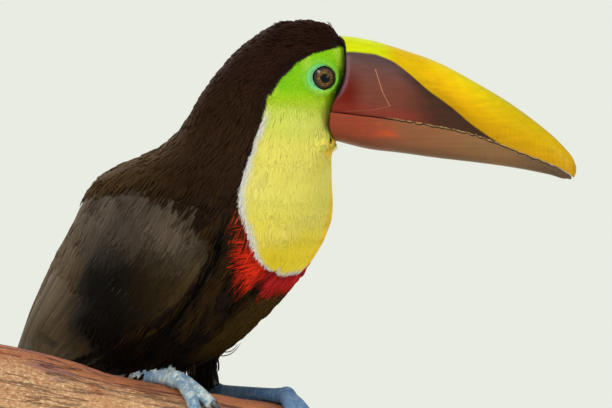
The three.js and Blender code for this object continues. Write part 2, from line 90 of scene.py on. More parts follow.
def node(tree, kind, inputs=(), **settings):
    made = tree.nodes.new(kind if "Node" in kind else "ShaderNode" + kind)
    for key, value in settings.items():
        setattr(made, key, value)
    fill(made, inputs)
    return made


def new_material(name):
    material = bpy.data.materials.new(name)
    material.use_nodes = True
    tree = material.node_tree
    return material, partial(node, tree), tree.nodes["Principled BSDF"]


print("linear mid grey:", linear("#808080").round(3))

# %% [markdown]
# ## Camera, light and floor
# The camera stands over two metres off the bird's right front, a little above the horizon,
# with a long lens, so that nothing is foreshortened. The light is a broad soft sky, a large
# soft lamp high on the left, a second one behind it that rakes the back and bill, and a weak
# fill. The floor and the sky that the camera sees are plain and pale.

# %% Camera
AIM = Vector((0.042, -0.05796, 0.339))
AZIMUTH, ELEVATION = math.radians(-60), math.radians(3)
CAMERA_DISTANCE, LENS_MM, FILM_MM = 2.2, 213.5, 36
level = math.cos(ELEVATION)
toward_camera = Vector(
    (math.sin(AZIMUTH) * level, -math.cos(AZIMUTH) * level, math.sin(ELEVATION))
)
camera = bpy.data.objects.new("camera", bpy.data.cameras.new("camera"))
camera.data.sensor_width, camera.data.lens = FILM_MM, LENS_MM
camera.data.clip_end = 200
camera.location = AIM + toward_camera * CAMERA_DISTANCE
camera.rotation_euler = toward_camera.to_track_quat("Z", "Y").to_euler()
bpy.context.scene.collection.objects.link(camera)
bpy.context.scene.camera = camera
bpy.context.scene.view_settings.view_transform = "Standard"
print("lens", camera.data.lens, "mm at", CAMERA_DISTANCE, "m")

# %% Lamps, sky and floor
to_right = Vector((-toward_camera.y, toward_camera.x, 0)).normalized()
LAMP_WARMTH = (1.0, 0.955, 0.87)


def soft_lamp(name, ahead, right, up, size, watts):
    place = AIM + toward_camera * ahead + to_right * right + Vector((0, 0, up))
    lamp = bpy.data.objects.new(name, bpy.data.lights.new(name, "AREA"))
    lamp.data.shape, lamp.data.size, lamp.data.energy = "DISK", size, watts
    lamp.data.color = LAMP_WARMTH
    lamp.location = place
    lamp.rotation_euler = (place - AIM).to_track_quat("Z", "Y").to_euler()
    bpy.context.scene.collection.objects.link(lamp)


soft_lamp("key", 1.4, -0.9, 1.6, 0.9, 39)
soft_lamp("back_left", -1.1, -1.5, 1.3, 0.7, 36)
soft_lamp("fill", 1.5, 1.8, 0.5, 1.3, 19)

world = bpy.data.worlds.new("studio")
world.use_nodes = True
bpy.context.scene.world = world
sky = world.node_tree
add = partial(node, sky)
SKY_SEEN = "#E9ECE2"
AMBIENT_STRENGTH = 0.42
path = add("LightPath").outputs
seen = add("Math", (path["Is Camera Ray"], path["Is Transmission Ray"]), operation="MAXIMUM")
seen = add("Math", (seen, path["Is Glossy Ray"]), operation="MAXIMUM")
backdrop = sky.nodes["Background"]
fill(backdrop, (SKY_SEEN,))
ambient = add("Background", ("#FFF8E8", AMBIENT_STRENGTH))
fill(sky.nodes["World Output"], (add("MixShader", (seen, ambient, backdrop)),))

# The paper fades into the plain backdrop between these two distances in metres.
FADE_FROM, FADE_TO = 0.25, 1.6
paper, add, shader = new_material("matt_studio_paper")
grain = add("TexNoise", {"Scale": 40, "Detail": 3})
paper_tone = add("Mix", (grain, "#EDEFE6", "#F1F2EA"), data_type="RGBA")
fill(shader, {"Roughness": 0.9, "Base Color": paper_tone})
far_off = add("VectorMath", (add("TexCoord").outputs["Object"],), operation="LENGTH")
far_share = add("MapRange", (far_off, FADE_FROM, FADE_TO))
path = add("LightPath").outputs
seen = add("Math", (path["Is Camera Ray"], path["Is Glossy Ray"]), operation="MAXIMUM")
seen = add("Math", (seen, far_share), operation="MULTIPLY")
plain = add("Emission", (SKY_SEEN, 1))
paper_out = paper.node_tree.nodes["Material Output"]
fill(paper_out, (add("MixShader", (seen, shader, plain)),))
FLOOR_HALF = 60
floor_mesh = bpy.data.meshes.new("floor")
floor_mesh.from_pydata(
    [(x, y, 0) for x, y in ((-1, -1), (1, -1), (1, 1), (-1, 1))], [], [(0, 1, 2, 3)]
)
floor_mesh.transform(Matrix.Scale(FLOOR_HALF, 4))
floor_mesh.materials.append(paper)
floor = bpy.data.objects.new("floor", floor_mesh)
bpy.context.scene.collection.objects.link(floor)
print("floor", FLOOR_HALF * 2, "m across")

# %% [markdown]
# ## Reading a place on the bird
# A bird is easiest to describe in its own directions: how far ahead, how far to its left and
# how high. The head is turned to the left, so above the shoulders the directions turn with
# it. `about_neck` gives ahead and left about the neck's pivot, turned as far as the neck has
# turned at that height. Every marking, feather and fold below is described in these numbers.

# %% Directions on the bird
BIRD_X_MM, BIRD_AHEAD_MM, PIVOT_AHEAD_MM = 12, 6, 47.6
TURN_HEIGHTS_MM = (337, 354, 368, 378, 389, 400)
TURNS = (0, 6, 13, 18, 22, 24)
HEAD_TURN = math.radians(24)


def neck_turn(height):
    return np.radians(np.interp(height, TURN_HEIGHTS_MM, TURNS))


def forward_of(points):
    return -points[:, 1] / MM - BIRD_AHEAD_MM


def about_neck(points):
    x = points[:, 0] / MM - BIRD_X_MM
    forward = forward_of(points) - PIVOT_AHEAD_MM
    height = points[:, 2] / MM
    turn = neck_turn(height)
    ahead = x * np.sin(turn) + forward * np.cos(turn)
    left = x * np.cos(turn) - forward * np.sin(turn)
    return ahead, left, height


def in_metres(left, forward, height):
    """Points of the model, from places in millimetres along the bird's own directions."""
    parts = np.broadcast_arrays(left + BIRD_X_MM, -forward - BIRD_AHEAD_MM, height)
    return np.stack(parts, -1) * MM


def placed(ahead, left, height, turn):
    """The same, from places about the neck's pivot, turned with the head."""
    x = ahead * np.sin(turn) + left * np.cos(turn)
    forward = PIVOT_AHEAD_MM + ahead * np.cos(turn) - left * np.sin(turn)
    return in_metres(x, forward, height)


def ramp(value, start, end):
    """Rises smoothly from 0 at `start` to 1 at `end`."""
    share = np.clip((value - start) / (end - start), 0, 1)
    return share * share * (3 - 2 * share)


def bell(value, middle, width):
    """A smooth hump: 1 at `middle`, and about a third one `width` off it."""
    return np.exp(-(((value - middle) / width) ** 2))


# Soft random variation over space, the sum of a few fixed waves.
def ripple_of(points, size_mm, seed):
    rng = np.random.default_rng(seed)
    total = np.zeros(len(points))
    for _ in range(6):
        wave = rng.normal(size=3)
        wave *= rng.uniform(0.6, 1.6) / np.linalg.norm(wave)
        total += np.sin(points @ wave * (2 * math.pi / (size_mm * MM)) + rng.uniform(0, 6))
    return total / 6


# The same, drawn out along the feathers, which run down and back.
def streaks_of(points, size_mm, seed):
    along = points[:, 1] * 0.55 - points[:, 2] * 0.83
    across = points[:, 1] * 0.83 + points[:, 2] * 0.55
    return ripple_of(np.stack([points[:, 0] * 0.4, across, along * 0.16], 1), size_mm, seed)

# %% [markdown]
# ## The markings
# A yellow-throated toucan is brownish black, with a chestnut tinge on crown and nape, a
# yellow bib with a whitish edge, a red band under it, bare lime-green skin round the eye,
# pale uppertail coverts and a red vent. The skin and all the feathers take their colour
# from this one function, so that they always agree.

# %% Where each marking lies, in millimetres about the neck
FACE_EDGE = (
    (376.5, 36.5), (381, 35.2), (389, 34.2), (400, 36.5), (409, 41.5), (418, 44.3), (430, 44.3),
    (437, 43), (442.5, 37.5), (452, 33.5),
)
FACE_TOP = ((403, -1), (408, 2), (415.5, 6.5), (420, 11.5), (424.5, 15.5), (430.5, 25.5), (434, 39))
BIB_EDGE = (
    (300, 12), (308, 9), (320, 6.5), (332, 4.5), (344, 0), (354, -2.5), (380, -5.5), (404, -1),
)
BIB_FOOT = ((0, 299.5), (15, 299.5), (26, 301.5), (35, 308), (42, 319), (47, 335))
RED_EDGE = ((286, -3), (296, -1.5), (306, 0.5), (315, 2), (322, 3.5), (334, 4), (343, 1.5))
RED_FOOT = (
    (0, 293), (9, 291), (15, 291.5), (19, 295), (21.5, 301), (24.5, 300), (27, 292), (31, 290),
    (38, 298), (43, 308), (48, 324),
)
WING_FRONT = (
    (253, -16), (262, -5), (270, 4), (278, 10.5), (287, 18.5), (297, 27), (309, 35), (318, 40),
    (330, 43),
)
MANTLE_LINE = ((-110, 335), (-75, 348), (-40, 354), (-7, 357), (18, 347), (41, 330), (60, 300))
EYE_AHEAD_MM, EYE_OUT_MM, EYE_HEIGHT_MM, EYE_RADIUS_MM = 29.9, 15.4, 416.6, 9.2
FACE_FOOT_MM = 401
print("face edge of", len(FACE_TOP), "points, bib edge of", len(BIB_EDGE))

# %% How far inside a marking a place is
def along_line(value, line):
    keys, places = zip(*line)
    return np.interp(value, keys, places)


def face_depth(ahead, left, height):
    """How far inside the bare face a place is, in millimetres."""
    behind = ahead - along_line(height, FACE_TOP)
    under = 434.5 - height
    over = height - (FACE_FOOT_MM - 0.06 * np.maximum(ahead, 0))
    return np.minimum(np.minimum(behind, over), under) + 0 * left


def bib_depth(ahead, left, height):
    edge = ahead - along_line(height, BIB_EDGE)
    foot = height - along_line(np.abs(left), BIB_FOOT)
    return np.minimum(np.minimum(edge, foot), 406 - height)


def red_depth(ahead, left, height):
    edge = ahead - along_line(height, RED_EDGE)
    foot = height - along_line(np.abs(left), RED_FOOT)
    return np.minimum(np.minimum(edge, foot), 343 - height)


def eye_distance(ahead, height):
    return np.hypot(ahead - EYE_AHEAD_MM, height - EYE_HEIGHT_MM)


print("eye inside the face by", face_depth(EYE_AHEAD_MM, 0, EYE_HEIGHT_MM).round(1), "mm")

# %% The colour of each feather or point of skin
def all_over(colour, points):
    return np.tile(linear(colour), (len(points), 1))


def layered(base, *layers):
    """Lays colours over a base, one after another, each by its share at each point."""
    for colour, share in layers:
        base = base + (linear(colour) - base) * np.asarray(share)[:, None]
    return base


def markings(points, fringe=0.0):
    """The colour of skin or feather rooted at each point. fringe moves the red's edge."""
    ahead, left, height = about_neck(points)
    forward = forward_of(points)
    tone = layered(
        all_over("#0D0704", points),
        ("#1D1209", ramp(height, 255, 300)),
        ("#2B1A0C", ramp(height, 330, 375)),
        ("#26130C", ramp(height, 400, 425)),
        ("#3A2A14", ramp(height, 315, 345) * ramp(-ahead, 35, 75)),
    )
    streaky = ramp(streaks_of(points, 6, 31), -0.05, 0.45) * (1 - ramp(height, 330, 370))
    streaky = 0.8 * streaky * ramp(np.abs(left), 14, 32) * (1 - 0.75 * ramp(-height, -285, -255))
    tone = layered(tone, ("#35240D", streaky))
    lobe = (1 - ramp(np.abs(left), 14, 25)) * ramp(height, 236, 266) * (1 - ramp(height, 286, 298))
    tone = layered(tone, ("#40300F", lobe * (ahead > -45) * 0.7))
    red = red_depth(ahead, left, height) + fringe
    tone = layered(
        tone,
        ("#7A1C0E", ramp(red, -1.6, 0.6)),
        ("#C62614", ramp(red, 0.3, 4)),
        ("#E63A1E", ramp(red, 3, 9) * 0.8),
        ("#A83A1A", ramp(red, -1, 1) * ramp(height, 312, 328) * 0.7),
        ("#A41C26", ramp(red, 1, 4) * ramp(left, -26, -21) * 0.85),
    )
    bib = bib_depth(ahead, left, height)
    yellow = layered(
        all_over("#EAE468", points),
        ("#F6DE30", ramp(-height, -350, -312)),
        ("#D0DC58", ramp(height, 378, 394)),
        ("#BCD63C", ramp(height, 392, 403)),
    )
    far_edge = ramp(left, 4, 11) * (1 - ramp(left, 20, 34)) * ramp(-height, -402, -385)
    yellow = layered(yellow, ("#F8C416", far_edge * 0.65))
    chin = bell(height, 378, 4.5) * ramp(ahead, 31, 34.5) * ramp(left, -13, -7)
    yellow = layered(yellow, ("#F0C01C", chin * 0.9))
    cloudy = ripple_of(points, 30, 8)
    yellow = layered(yellow, ("#F0EBA0", ramp(cloudy, 0.0, 0.5) * 0.2))
    wide = np.interp(height, (298, 325, 345, 370, 395), (2.0, 3.4, 3.9, 2.4, 3.2))
    off_border = bib + 0.9 * ripple_of(points, 14, 9) - wide
    pale = 1 - ramp(off_border, -2.2, 2.6)
    yellow = layered(yellow, ("#DDE0D8", pale * (1 - ramp(height, 388, 402))))
    share = ramp(bib, -0.5, 0.5)[:, None]
    tone = tone * (1 - share) + yellow * share
    face = face_depth(ahead, left, height)
    from_eye = eye_distance(ahead, height)
    lime = layered(
        all_over("#6AAE00", points),
        ("#7AB802", ramp(ahead, 8, 26) * 0.7),
        ("#A6C43A", ramp(ripple_of(points, 16, 4), 0.1, 0.5) * 0.5),
        ("#92BA16", 1 - ramp(height, 403, 412)),
        ("#AECA34", 1 - ramp(height, 399, 405)),
        ("#5CC472", 0.2 * (1 - ramp(from_eye, 8.6, 12.5))),
        ("#6CCF94", 0.75 * (1 - ramp(from_eye, 7.2, 8.3))),
    )
    share = ramp(face, -0.6, 0.8)[:, None]
    tone = tone * (1 - share) + lime * share
    vent = ramp(-forward, 60, 75) * (1 - ramp(np.abs(left), 22, 30))
    vent = vent * ramp(-height, -238, -230) * ramp(height, 186, 196)
    rear = np.interp(height, (186, 204, 216, 240), (-128, -127, -119, -108))
    tone = layered(tone, ("#A81A14", vent * ramp(forward - rear, -2, 1)))
    rump = (1 - ramp(forward - rear, -8, -3)) * (1 - ramp(np.abs(left), 20, 27))
    return layered(tone, ("#E6DFC6", rump * ramp(height, 198, 204) * (1 - ramp(height, 244, 252))))


print("crown tone:", markings(placed(0, 0, 445, HEAD_TURN)[None]).round(3))

# %% The colours of the wing, with painted sheen
def wing_tone(points):
    """Grey-brown, partly painted sheen, under the mantle and back; nearly black in the middle."""
    forward, height = forward_of(points), points[:, 2] / MM
    below = along_line(forward, MANTLE_LINE) - height + 5 * ripple_of(points, 40, 21)
    base = layered(
        all_over("#070402", points),
        ("#2A1F0D", ramp(forward, -25, 22) * 0.85),
        ("#33260F", (1 - ramp(height, 246, 266)) * 0.5),
        ("#2E220F", ramp(-forward, 40, 70) * (1 - ramp(height, 246, 270))),
    )
    # A grey-brown band along the back edge, olive lower down: partly the plumage's own colour,
    # partly painted sheen.
    from_edge = -forward - np.interp(height, (200, 240, 290, 320), (98, 76, 54, 44))
    edge = ramp(from_edge + 5 * ripple_of(points, 24, 22), -10, 24)
    base = layered(
        base,
        ("#4A3D2E", edge * ramp(height, 205, 240)),
        ("#2E2108", edge * (1 - ramp(height, 258, 284)) * 0.9),
    )
    below = below - 3 * ripple_of(points, 12, 27)
    # Painted sheen: grey-brown just under the mantle, fading downwards and towards the front.
    painted_sheen = ramp(below, -12, 14) * (1 - ramp(below, -4, 50)) * (1 - ramp(forward, 20, 48))
    base = layered(base, ("#574D45", painted_sheen * 0.92))
    # A painted highlight along the raised front rim of the wing.
    painted_rim_highlight = bell(forward - along_line(height, WING_FRONT), -8, 4) * (height < 325)
    return layered(base, ("#3C3018", painted_rim_highlight * 0.6))


print("shoulder tone:", wing_tone(in_metres(-40, 0, 330)[None]).round(3))

# %% [markdown]
# ## One skin over the whole bird
# The CAD bird is a set of separate solids. A real bird has one skin, so copies of all the
# solids of flesh are swollen a little until they overlap, joined, and rebuilt as one surface
# by a voxel remesh. The facets are then relaxed away, the skin is sunk under the plumage by
# the depth of the coat, and the hidden parts are thinned, so that the head and feet can
# keep fine detail.

# %% The solids of flesh
FLESH = [
    name
    for name in nodes
    if name.startswith(("head", "neck", "trunk", "tail", "wing", "thigh", "tarsus", "toe"))
]
SWELL = 0.45 * MM
VOXEL = 1.0 * MM
print("solids of flesh:", len(FLESH))

# %% Reading, joining and making meshes
def mesh_arrays(mesh):
    mesh.calc_loop_triangles()
    points = np.empty(len(mesh.vertices) * 3)
    mesh.vertices.foreach_get("co", points)
    corners = np.empty(len(mesh.loop_triangles) * 3, np.int64)
    mesh.loop_triangles.foreach_get("vertices", corners)
    return points.reshape(-1, 3), corners.reshape(-1, 3)


def welded(points, corners, step=1e-6):
    keys = np.round(points / step).astype(np.int64)
    _, first, place = np.unique(keys, axis=0, return_index=True, return_inverse=True)
    return points[first], place.ravel()[corners]


def point_normals(points, corners):
    a, b, c = (points[corners[:, i]] for i in range(3))
    face = np.cross(b - a, c - a)
    total = np.zeros_like(points)
    for i in range(3):
        for axis in range(3):
            total[:, axis] += np.bincount(corners[:, i], face[:, axis], len(points))
    return total / np.maximum(np.linalg.norm(total, axis=1, keepdims=True), 1e-12)


def new_object(name, points, faces):
    mesh = bpy.data.meshes.new(name)
    mesh.vertices.add(len(points))
    mesh.vertices.foreach_set("co", np.asarray(points, np.float32).ravel())
    faces = np.asarray(faces)
    mesh.loops.add(faces.size)
    mesh.loops.foreach_set("vertex_index", faces.ravel().astype(np.int32))
    mesh.polygons.add(len(faces))
    starts = np.arange(len(faces), dtype=np.int32) * faces.shape[1]
    mesh.polygons.foreach_set("loop_start", starts)
    mesh.update(calc_edges=True)
    mesh.validate()
    made = bpy.data.objects.new(name, mesh)
    bpy.context.scene.collection.objects.link(made)
    return made


def face_out(mesh, weld_distance=0):
    """Turns all faces outwards, once points that touch are joined if a distance is given."""
    shell = bmesh.new()
    shell.from_mesh(mesh)
    if weld_distance:
        bmesh.ops.remove_doubles(shell, verts=shell.verts, dist=weld_distance)
    bmesh.ops.recalc_face_normals(shell, faces=shell.faces)
    shell.to_mesh(mesh)
    shell.free()


def evaluated_mesh(piece):
    depsgraph = bpy.context.evaluated_depsgraph_get()
    return bpy.data.meshes.new_from_object(piece.evaluated_get(depsgraph), depsgraph=depsgraph)


print("the head has", len(mesh_arrays(nodes["head"].data)[1]), "facets")

# %% Join the solids of flesh
all_points, all_corners, count = [], [], 0
for name in FLESH:
    points, corners = welded(*mesh_arrays(nodes[name].data))
    points = points + point_normals(points, corners) * SWELL
    all_points.append(points)
    all_corners.append(corners + count)
    count += len(points)
joined = new_object("joined_flesh", np.concatenate(all_points), np.concatenate(all_corners))
rebuild = joined.modifiers.new("one_skin", "REMESH")
rebuild.mode = "VOXEL"
rebuild.voxel_size = VOXEL
skin_mesh = evaluated_mesh(joined)
bpy.data.objects.remove(joined)
skin_points, skin_corners = mesh_arrays(skin_mesh)
print("skin before thinning:", len(skin_corners), "triangles")

# %% Relax the facets, and find which solid each point of skin came from
def largest_shell(points, corners):
    label = np.arange(len(points))
    while True:
        lowest = label[corners].min(1)
        before = label.copy()
        for i in range(3):
            np.minimum.at(label, corners[:, i], lowest)
        label = label[label]
        if (label == before).all():
            break
    names, sizes = np.unique(label[corners[:, 0]], return_counts=True)
    kept = corners[label[corners[:, 0]] == names[sizes.argmax()]]
    used, place = np.unique(kept, return_inverse=True)
    return points[used], place.reshape(kept.shape)


def edge_list(corners):
    pairs = np.concatenate([corners[:, [0, 1]], corners[:, [1, 2]], corners[:, [2, 0]]])
    return np.unique(np.sort(pairs, axis=1), axis=0)


def averaged(values, edges, count):
    a, b = edges.T
    degree = np.bincount(a, minlength=count) + np.bincount(b, minlength=count)
    total = [
        np.bincount(a, column[b], count) + np.bincount(b, column[a], count) for column in values.T
    ]
    return np.stack(total, 1) / np.maximum(degree, 1)[:, None]


skin_points, skin_corners = largest_shell(skin_points, skin_corners)
flesh_tree = BVHTree.FromPolygons(
    np.concatenate(all_points).tolist(), np.concatenate(all_corners).tolist()
)
solid_of_face = np.repeat(np.arange(len(FLESH)), [len(c) for c in all_corners])


def named(*starts):
    return np.array([name.startswith(starts) for name in FLESH])


def solids_near(points):
    return solid_of_face[[flesh_tree.find_nearest(p)[2] for p in points.tolist()]]


skin_solid = solids_near(skin_points)
on_foot = named("tarsus", "toe")[skin_solid]
ahead, left, height = about_neck(skin_points)
near_eye = eye_distance(ahead, height) < 11
ease = np.where(on_foot | (near_eye & (ahead > 15)), 0.12, 0.6)[:, None]
edges = edge_list(skin_corners)
RELAX_ROUNDS = 36
for _ in range(RELAX_ROUNDS):
    skin_points += (averaged(skin_points, edges, len(skin_points)) - skin_points) * ease
print("one shell of", len(skin_corners), "triangles, relaxed", RELAX_ROUNDS, "times")

# %% [markdown]
# ## Sink the skin under the coat, and sculpt it
# Plumage stands off the skin by two or three millimetres on the body and hardly at all on
# the head. The bare face and the feet have no coat, so there the skin is the surface. Round
# the eye it swells into a fleshy ring with thin lids, small folds run back from it, and on
# the breast the plumage parts in a furrow. A groove sets the folded wing off the body.

# %% Coat depth and face
COAT_MM = {"head": 1.5, "neck": 2.0, "trunk": 2.6, "wing": 1.6, "tail": 1.2, "thigh": 2.2}
depth = np.zeros(len(skin_points))
for start, millimetres in COAT_MM.items():
    depth[named(start)[skin_solid]] = millimetres
ahead, left, height = about_neck(skin_points)
bare = np.clip(ramp(face_depth(ahead, left, height), -2.5, 0.5) + on_foot, 0, 1)
depth *= 1 - bare
for _ in range(12):
    depth = averaged(depth[:, None], edges, len(depth))[:, 0]
depth[on_foot] = 0
FURROW_HEIGHTS, FURROW_LEFTS = (264, 275, 285, 292, 299), (21, 24, 25.5, 22, 18)
FURROW_WIDTH_MM, FURROW_DEPTH_MM = 3.4, 3.2


def furrow_share(ahead, left, height):
    off = np.abs(np.abs(left) - np.interp(height, FURROW_HEIGHTS, FURROW_LEFTS))
    share = (1 - ramp(off, 0, FURROW_WIDTH_MM)) * ramp(height, 258, 268)
    return share * (1 - ramp(height, 296, 301)) * (ahead > -32)


WING_GROOVE_MM, WING_OUT_MM = 2.4, 26
forward = forward_of(skin_points)
before_wing = forward - along_line(height, WING_FRONT)
wing_groove = bell(before_wing, 0.5, 2.4) * (np.abs(left) > WING_OUT_MM)
wing_groove *= ramp(height, 248, 262) * (1 - ramp(height, 316, 330))

from_eye = eye_distance(ahead, height)
on_side = (np.abs(left) > 8) & (height > 395)
ring = bell(from_eye, 9.4, 1.7) * 1.1
hollow = bell(from_eye, 13.2, 2.0) * 0.45
angle = np.arctan2(height - EYE_HEIGHT_MM, ahead - EYE_AHEAD_MM)
folds = 0.16 * np.sin(angle * 16 + 1.5 * np.sin(angle * 5)) * bell(from_eye, 12.5, 3.2)
swell = (ring - hollow + folds) * on_side * (bare > 0.5)
swell += 3.6 * bell(height, 378, 4.5) * ramp(ahead, 26, 34)
swell += 0.8 * bell(height, 362, 12) * ramp(ahead, 26, 34)
on_back = ramp(-forward, 10, 35) * (1 - ramp(-forward, 82, 100))
swell += 2.2 * on_back * bell(height, 354, 14)
swell -= depth + FURROW_DEPTH_MM * furrow_share(ahead, left, height) + WING_GROOVE_MM * wing_groove
lift = (swell - SWELL / MM * (1 - 0.6 * on_foot))[:, None] * MM
skin_points += point_normals(skin_points, skin_corners) * lift
print("coat depth up to", round(depth.max(), 2), "mm; eye ring raised")

# %% Thin the hidden skin
skin = new_object("skin", skin_points, skin_corners)
keep_fine = skin.vertex_groups.new(name="keep_fine")
fine = (bare > 0.3) | (bell(from_eye, 9, 5) > 0.5)
hidden = np.flatnonzero(~fine).tolist()
keep_fine.add(hidden, 1.0, "REPLACE")
SKIN_TRIANGLES = 170000
thin = skin.modifiers.new("thin", "DECIMATE")
thin.ratio = SKIN_TRIANGLES / len(skin_corners)
thin.vertex_group = "keep_fine"
thin.vertex_group_factor = 4.0
thinned = evaluated_mesh(skin)
skin_points, skin_corners = mesh_arrays(thinned)
bpy.data.objects.remove(skin)
bpy.data.meshes.remove(thinned)
skin_points, skin_corners = largest_shell(skin_points, skin_corners)
skin = new_object("skin", skin_points, skin_corners)
skin_solid = solids_near(skin_points)
on_face = face_depth(*about_neck(skin_points)) > 0
print("skin:", len(skin_corners), "triangles; on the face", int(on_face.sum()), "points")

# %% [markdown]
# ## Unwrap the skin, and colour it
# Each face of the skin is laid flat on the side of a box that it faces, and the six sides
# sit beside each other on one square map. Feet get their own six, at a larger scale. The
# feathers later take the place of their root on this map, so that skin and coat share it.

# %% A box unwrap with six tiles
TILE_WIDE, TILE_HIGH, BODY_SCALE, FOOT_SCALE = 1 / 3, 1 / 2, 0.79, 1.05
FOOT_STRIP = 0.325
BODY_CORNER = Vector((-0.075, -0.145, 0.055))
FOOT_CORNER = Vector((-0.075, -0.11, 0.175))
MAP_MARGIN = 0.004


def unwrap(points, facing, foot):
    """Places on the map for points whose faces point along `facing` (0 to 5)."""
    axis, back = facing // 2, facing % 2
    across = np.array([1, 0, 0])[axis]
    upward = np.array([2, 2, 1])[axis]
    scale = np.where(foot, FOOT_SCALE, BODY_SCALE)
    corner = np.where(foot[:, None], np.array(FOOT_CORNER), np.array(BODY_CORNER))
    rows = np.arange(len(points))
    u = (points[rows, across] - corner[rows, across]) * scale
    v = (points[rows, upward] - corner[rows, upward]) * scale
    u = MAP_MARGIN + u + axis * TILE_WIDE
    v = MAP_MARGIN + v + back * TILE_HIGH + np.where(foot, FOOT_STRIP, 0)
    return np.stack([u, v], 1)


def face_normals(points, corners):
    a, b, c = (points[corners[:, i]] for i in range(3))
    normal = np.cross(b - a, c - a)
    return normal / np.maximum(np.linalg.norm(normal, axis=1, keepdims=True), 1e-15)


def facing_of(normals):
    axis = np.abs(normals).argmax(1)
    return axis * 2 + (normals[np.arange(len(normals)), axis] < 0)


def set_attribute(mesh, name, kind, values, domain="POINT"):
    made = mesh.attributes.new(name, kind, domain)
    field = {"FLOAT": "value", "FLOAT_COLOR": "color", "FLOAT_VECTOR": "vector"}[kind]
    made.data.foreach_set(field, np.asarray(values, np.float32).ravel())


def set_colour(mesh, name, tones):
    set_attribute(mesh, name, "FLOAT_COLOR", np.c_[tones, np.ones(len(tones))])


def corner_points_of(mesh):
    corners = np.empty(len(mesh.loops), np.int64)
    mesh.loops.foreach_get("vertex_index", corners)
    return corners


def set_map(mesh, places):
    layer = mesh.uv_layers.new(name="OFBake")
    layer.uv.foreach_set("vector", np.asarray(places, np.float32).ravel())


def set_side_map(mesh, points, facing):
    """Gives a whole mesh places on one of the map's six sides."""
    places = unwrap(points, np.full(len(points), facing), np.zeros(len(points), bool))
    set_map(mesh, places[corner_points_of(mesh)])


facing = facing_of(face_normals(skin_points, skin_corners))
foot_point = named("tarsus", "toe")[skin_solid]
foot_corner = foot_point[skin_corners].all(1)
corner_points = skin_points[skin_corners].reshape(-1, 3)
places = unwrap(corner_points, np.repeat(facing, 3), np.repeat(foot_corner, 3))
set_map(skin.data, places)
print("map spans", places.min(0).round(3), places.max(0).round(3))

# %% A place on the perch
PERCH_SLOPE, PERCH_HEADING = math.radians(13), math.radians(42)
PERCH_TOP_MM, PERCH_RADIUS_MM, FEET_APART_MM = 233, 35, 73
GRIP_LEFT_MM, GRIP_AHEAD_MM = -27, -7


def perch_place(along, angle, lift):
    """A point on the perch: along it from the right foot, round it from its crest, over it."""
    along, angle, lift = np.broadcast_arrays(along, angle, lift)
    level = along * math.cos(PERCH_SLOPE)
    axis = PERCH_TOP_MM - PERCH_RADIUS_MM / math.cos(PERCH_SLOPE) - along * math.sin(PERCH_SLOPE)
    out, up = (PERCH_RADIUS_MM + lift) * np.sin(angle), (PERCH_RADIUS_MM + lift) * np.cos(angle)
    left = GRIP_LEFT_MM + level * math.cos(PERCH_HEADING) - out * math.sin(PERCH_HEADING)
    forward = GRIP_AHEAD_MM + level * math.sin(PERCH_HEADING) + out * math.cos(PERCH_HEADING)
    return in_metres(left, forward, axis + up)


print("perch crest at", perch_place(0, 0, 0).round(4))

# %% Colours of bare skin and feet
pads = [perch_place(0, 0.14, 2.6), perch_place(FEET_APART_MM, 0, 6.2)]
from_pad = np.min([np.linalg.norm(skin_points - pad, axis=1) for pad in pads], axis=0) / MM
tone = markings(skin_points)
# The far foot is painted a darker blue, as painted shade.
foot_tone = layered(
    all_over("#86A0B6", skin_points),
    ("#557CA8", ramp(ripple_of(skin_points, 26, 3), -0.1, 0.5) * 0.7),
    ("#3E6AA4", ramp(skin_points[:, 0] / MM - BIRD_X_MM, 0, 6) * 0.7),
    ("#2A2E38", ramp(from_pad, 38, 54)),
)
tone = np.where(foot_point[:, None], foot_tone, tone)
ahead, left, height = about_neck(skin_points)
rim = (np.abs(left) > 6) & (height > 372) & (height < 436) & (ahead > 20)
to_bill = along_line(height, FACE_EDGE) - ahead
tone = layered(tone, ("#15110F", rim * (1 - ramp(to_bill, 0.3, 1.2)) * (1 - foot_point)))
lid = (1 - ramp(eye_distance(ahead, height), 6.4, 6.9)) * (np.abs(left) > 8) * (height > 400)
tone = layered(tone, ("#5A9A70", lid * 0.6))
# Skin under the coat is painted darker, as painted shade among the feathers; under the bib only a
# little. Under the wing it takes the wing's tone, darker still, with its painted sheen.
under_coat = 1 - np.clip(ramp(face_depth(ahead, left, height), -1.5, 0.5) + foot_point, 0, 1)
in_bib = ramp(bib_depth(ahead, left, height), -0.5, 1.5)[:, None]
painted_shade_tone = tone * (0.5 + 0.42 * in_bib)
tone = np.where(under_coat[:, None] > 0.5, painted_shade_tone, tone)
under_wing = under_coat * named("wing")[skin_solid]
tone = np.where(under_wing[:, None] > 0.5, wing_tone(skin_points) * 0.7, tone)
set_colour(skin.data, "tone", tone)
set_attribute(skin.data, "foot", "FLOAT", foot_point.astype(float))
set_attribute(skin.data, "from_pad", "FLOAT", from_pad)
# Pale scuffs of wear on the feet, fewer on the far foot, which is painted into shade.
worn = foot_point * (1 - 0.8 * ramp(skin_points[:, 0] / MM - BIRD_X_MM, 0, 6))
set_attribute(skin.data, "worn", "FLOAT", worn)
skin.data.shade_smooth()

# %% [markdown]
# ### Bare skin
# The bare face is thin, moist skin over soft tissue, with fine pores and crossing creases
# half a millimetre apart. The feet are dry horn-like scutes in bands about 2.6 mm apart.
# Skin has an IOR of 1.4 and scatters a little light, which keeps the lime glowing.

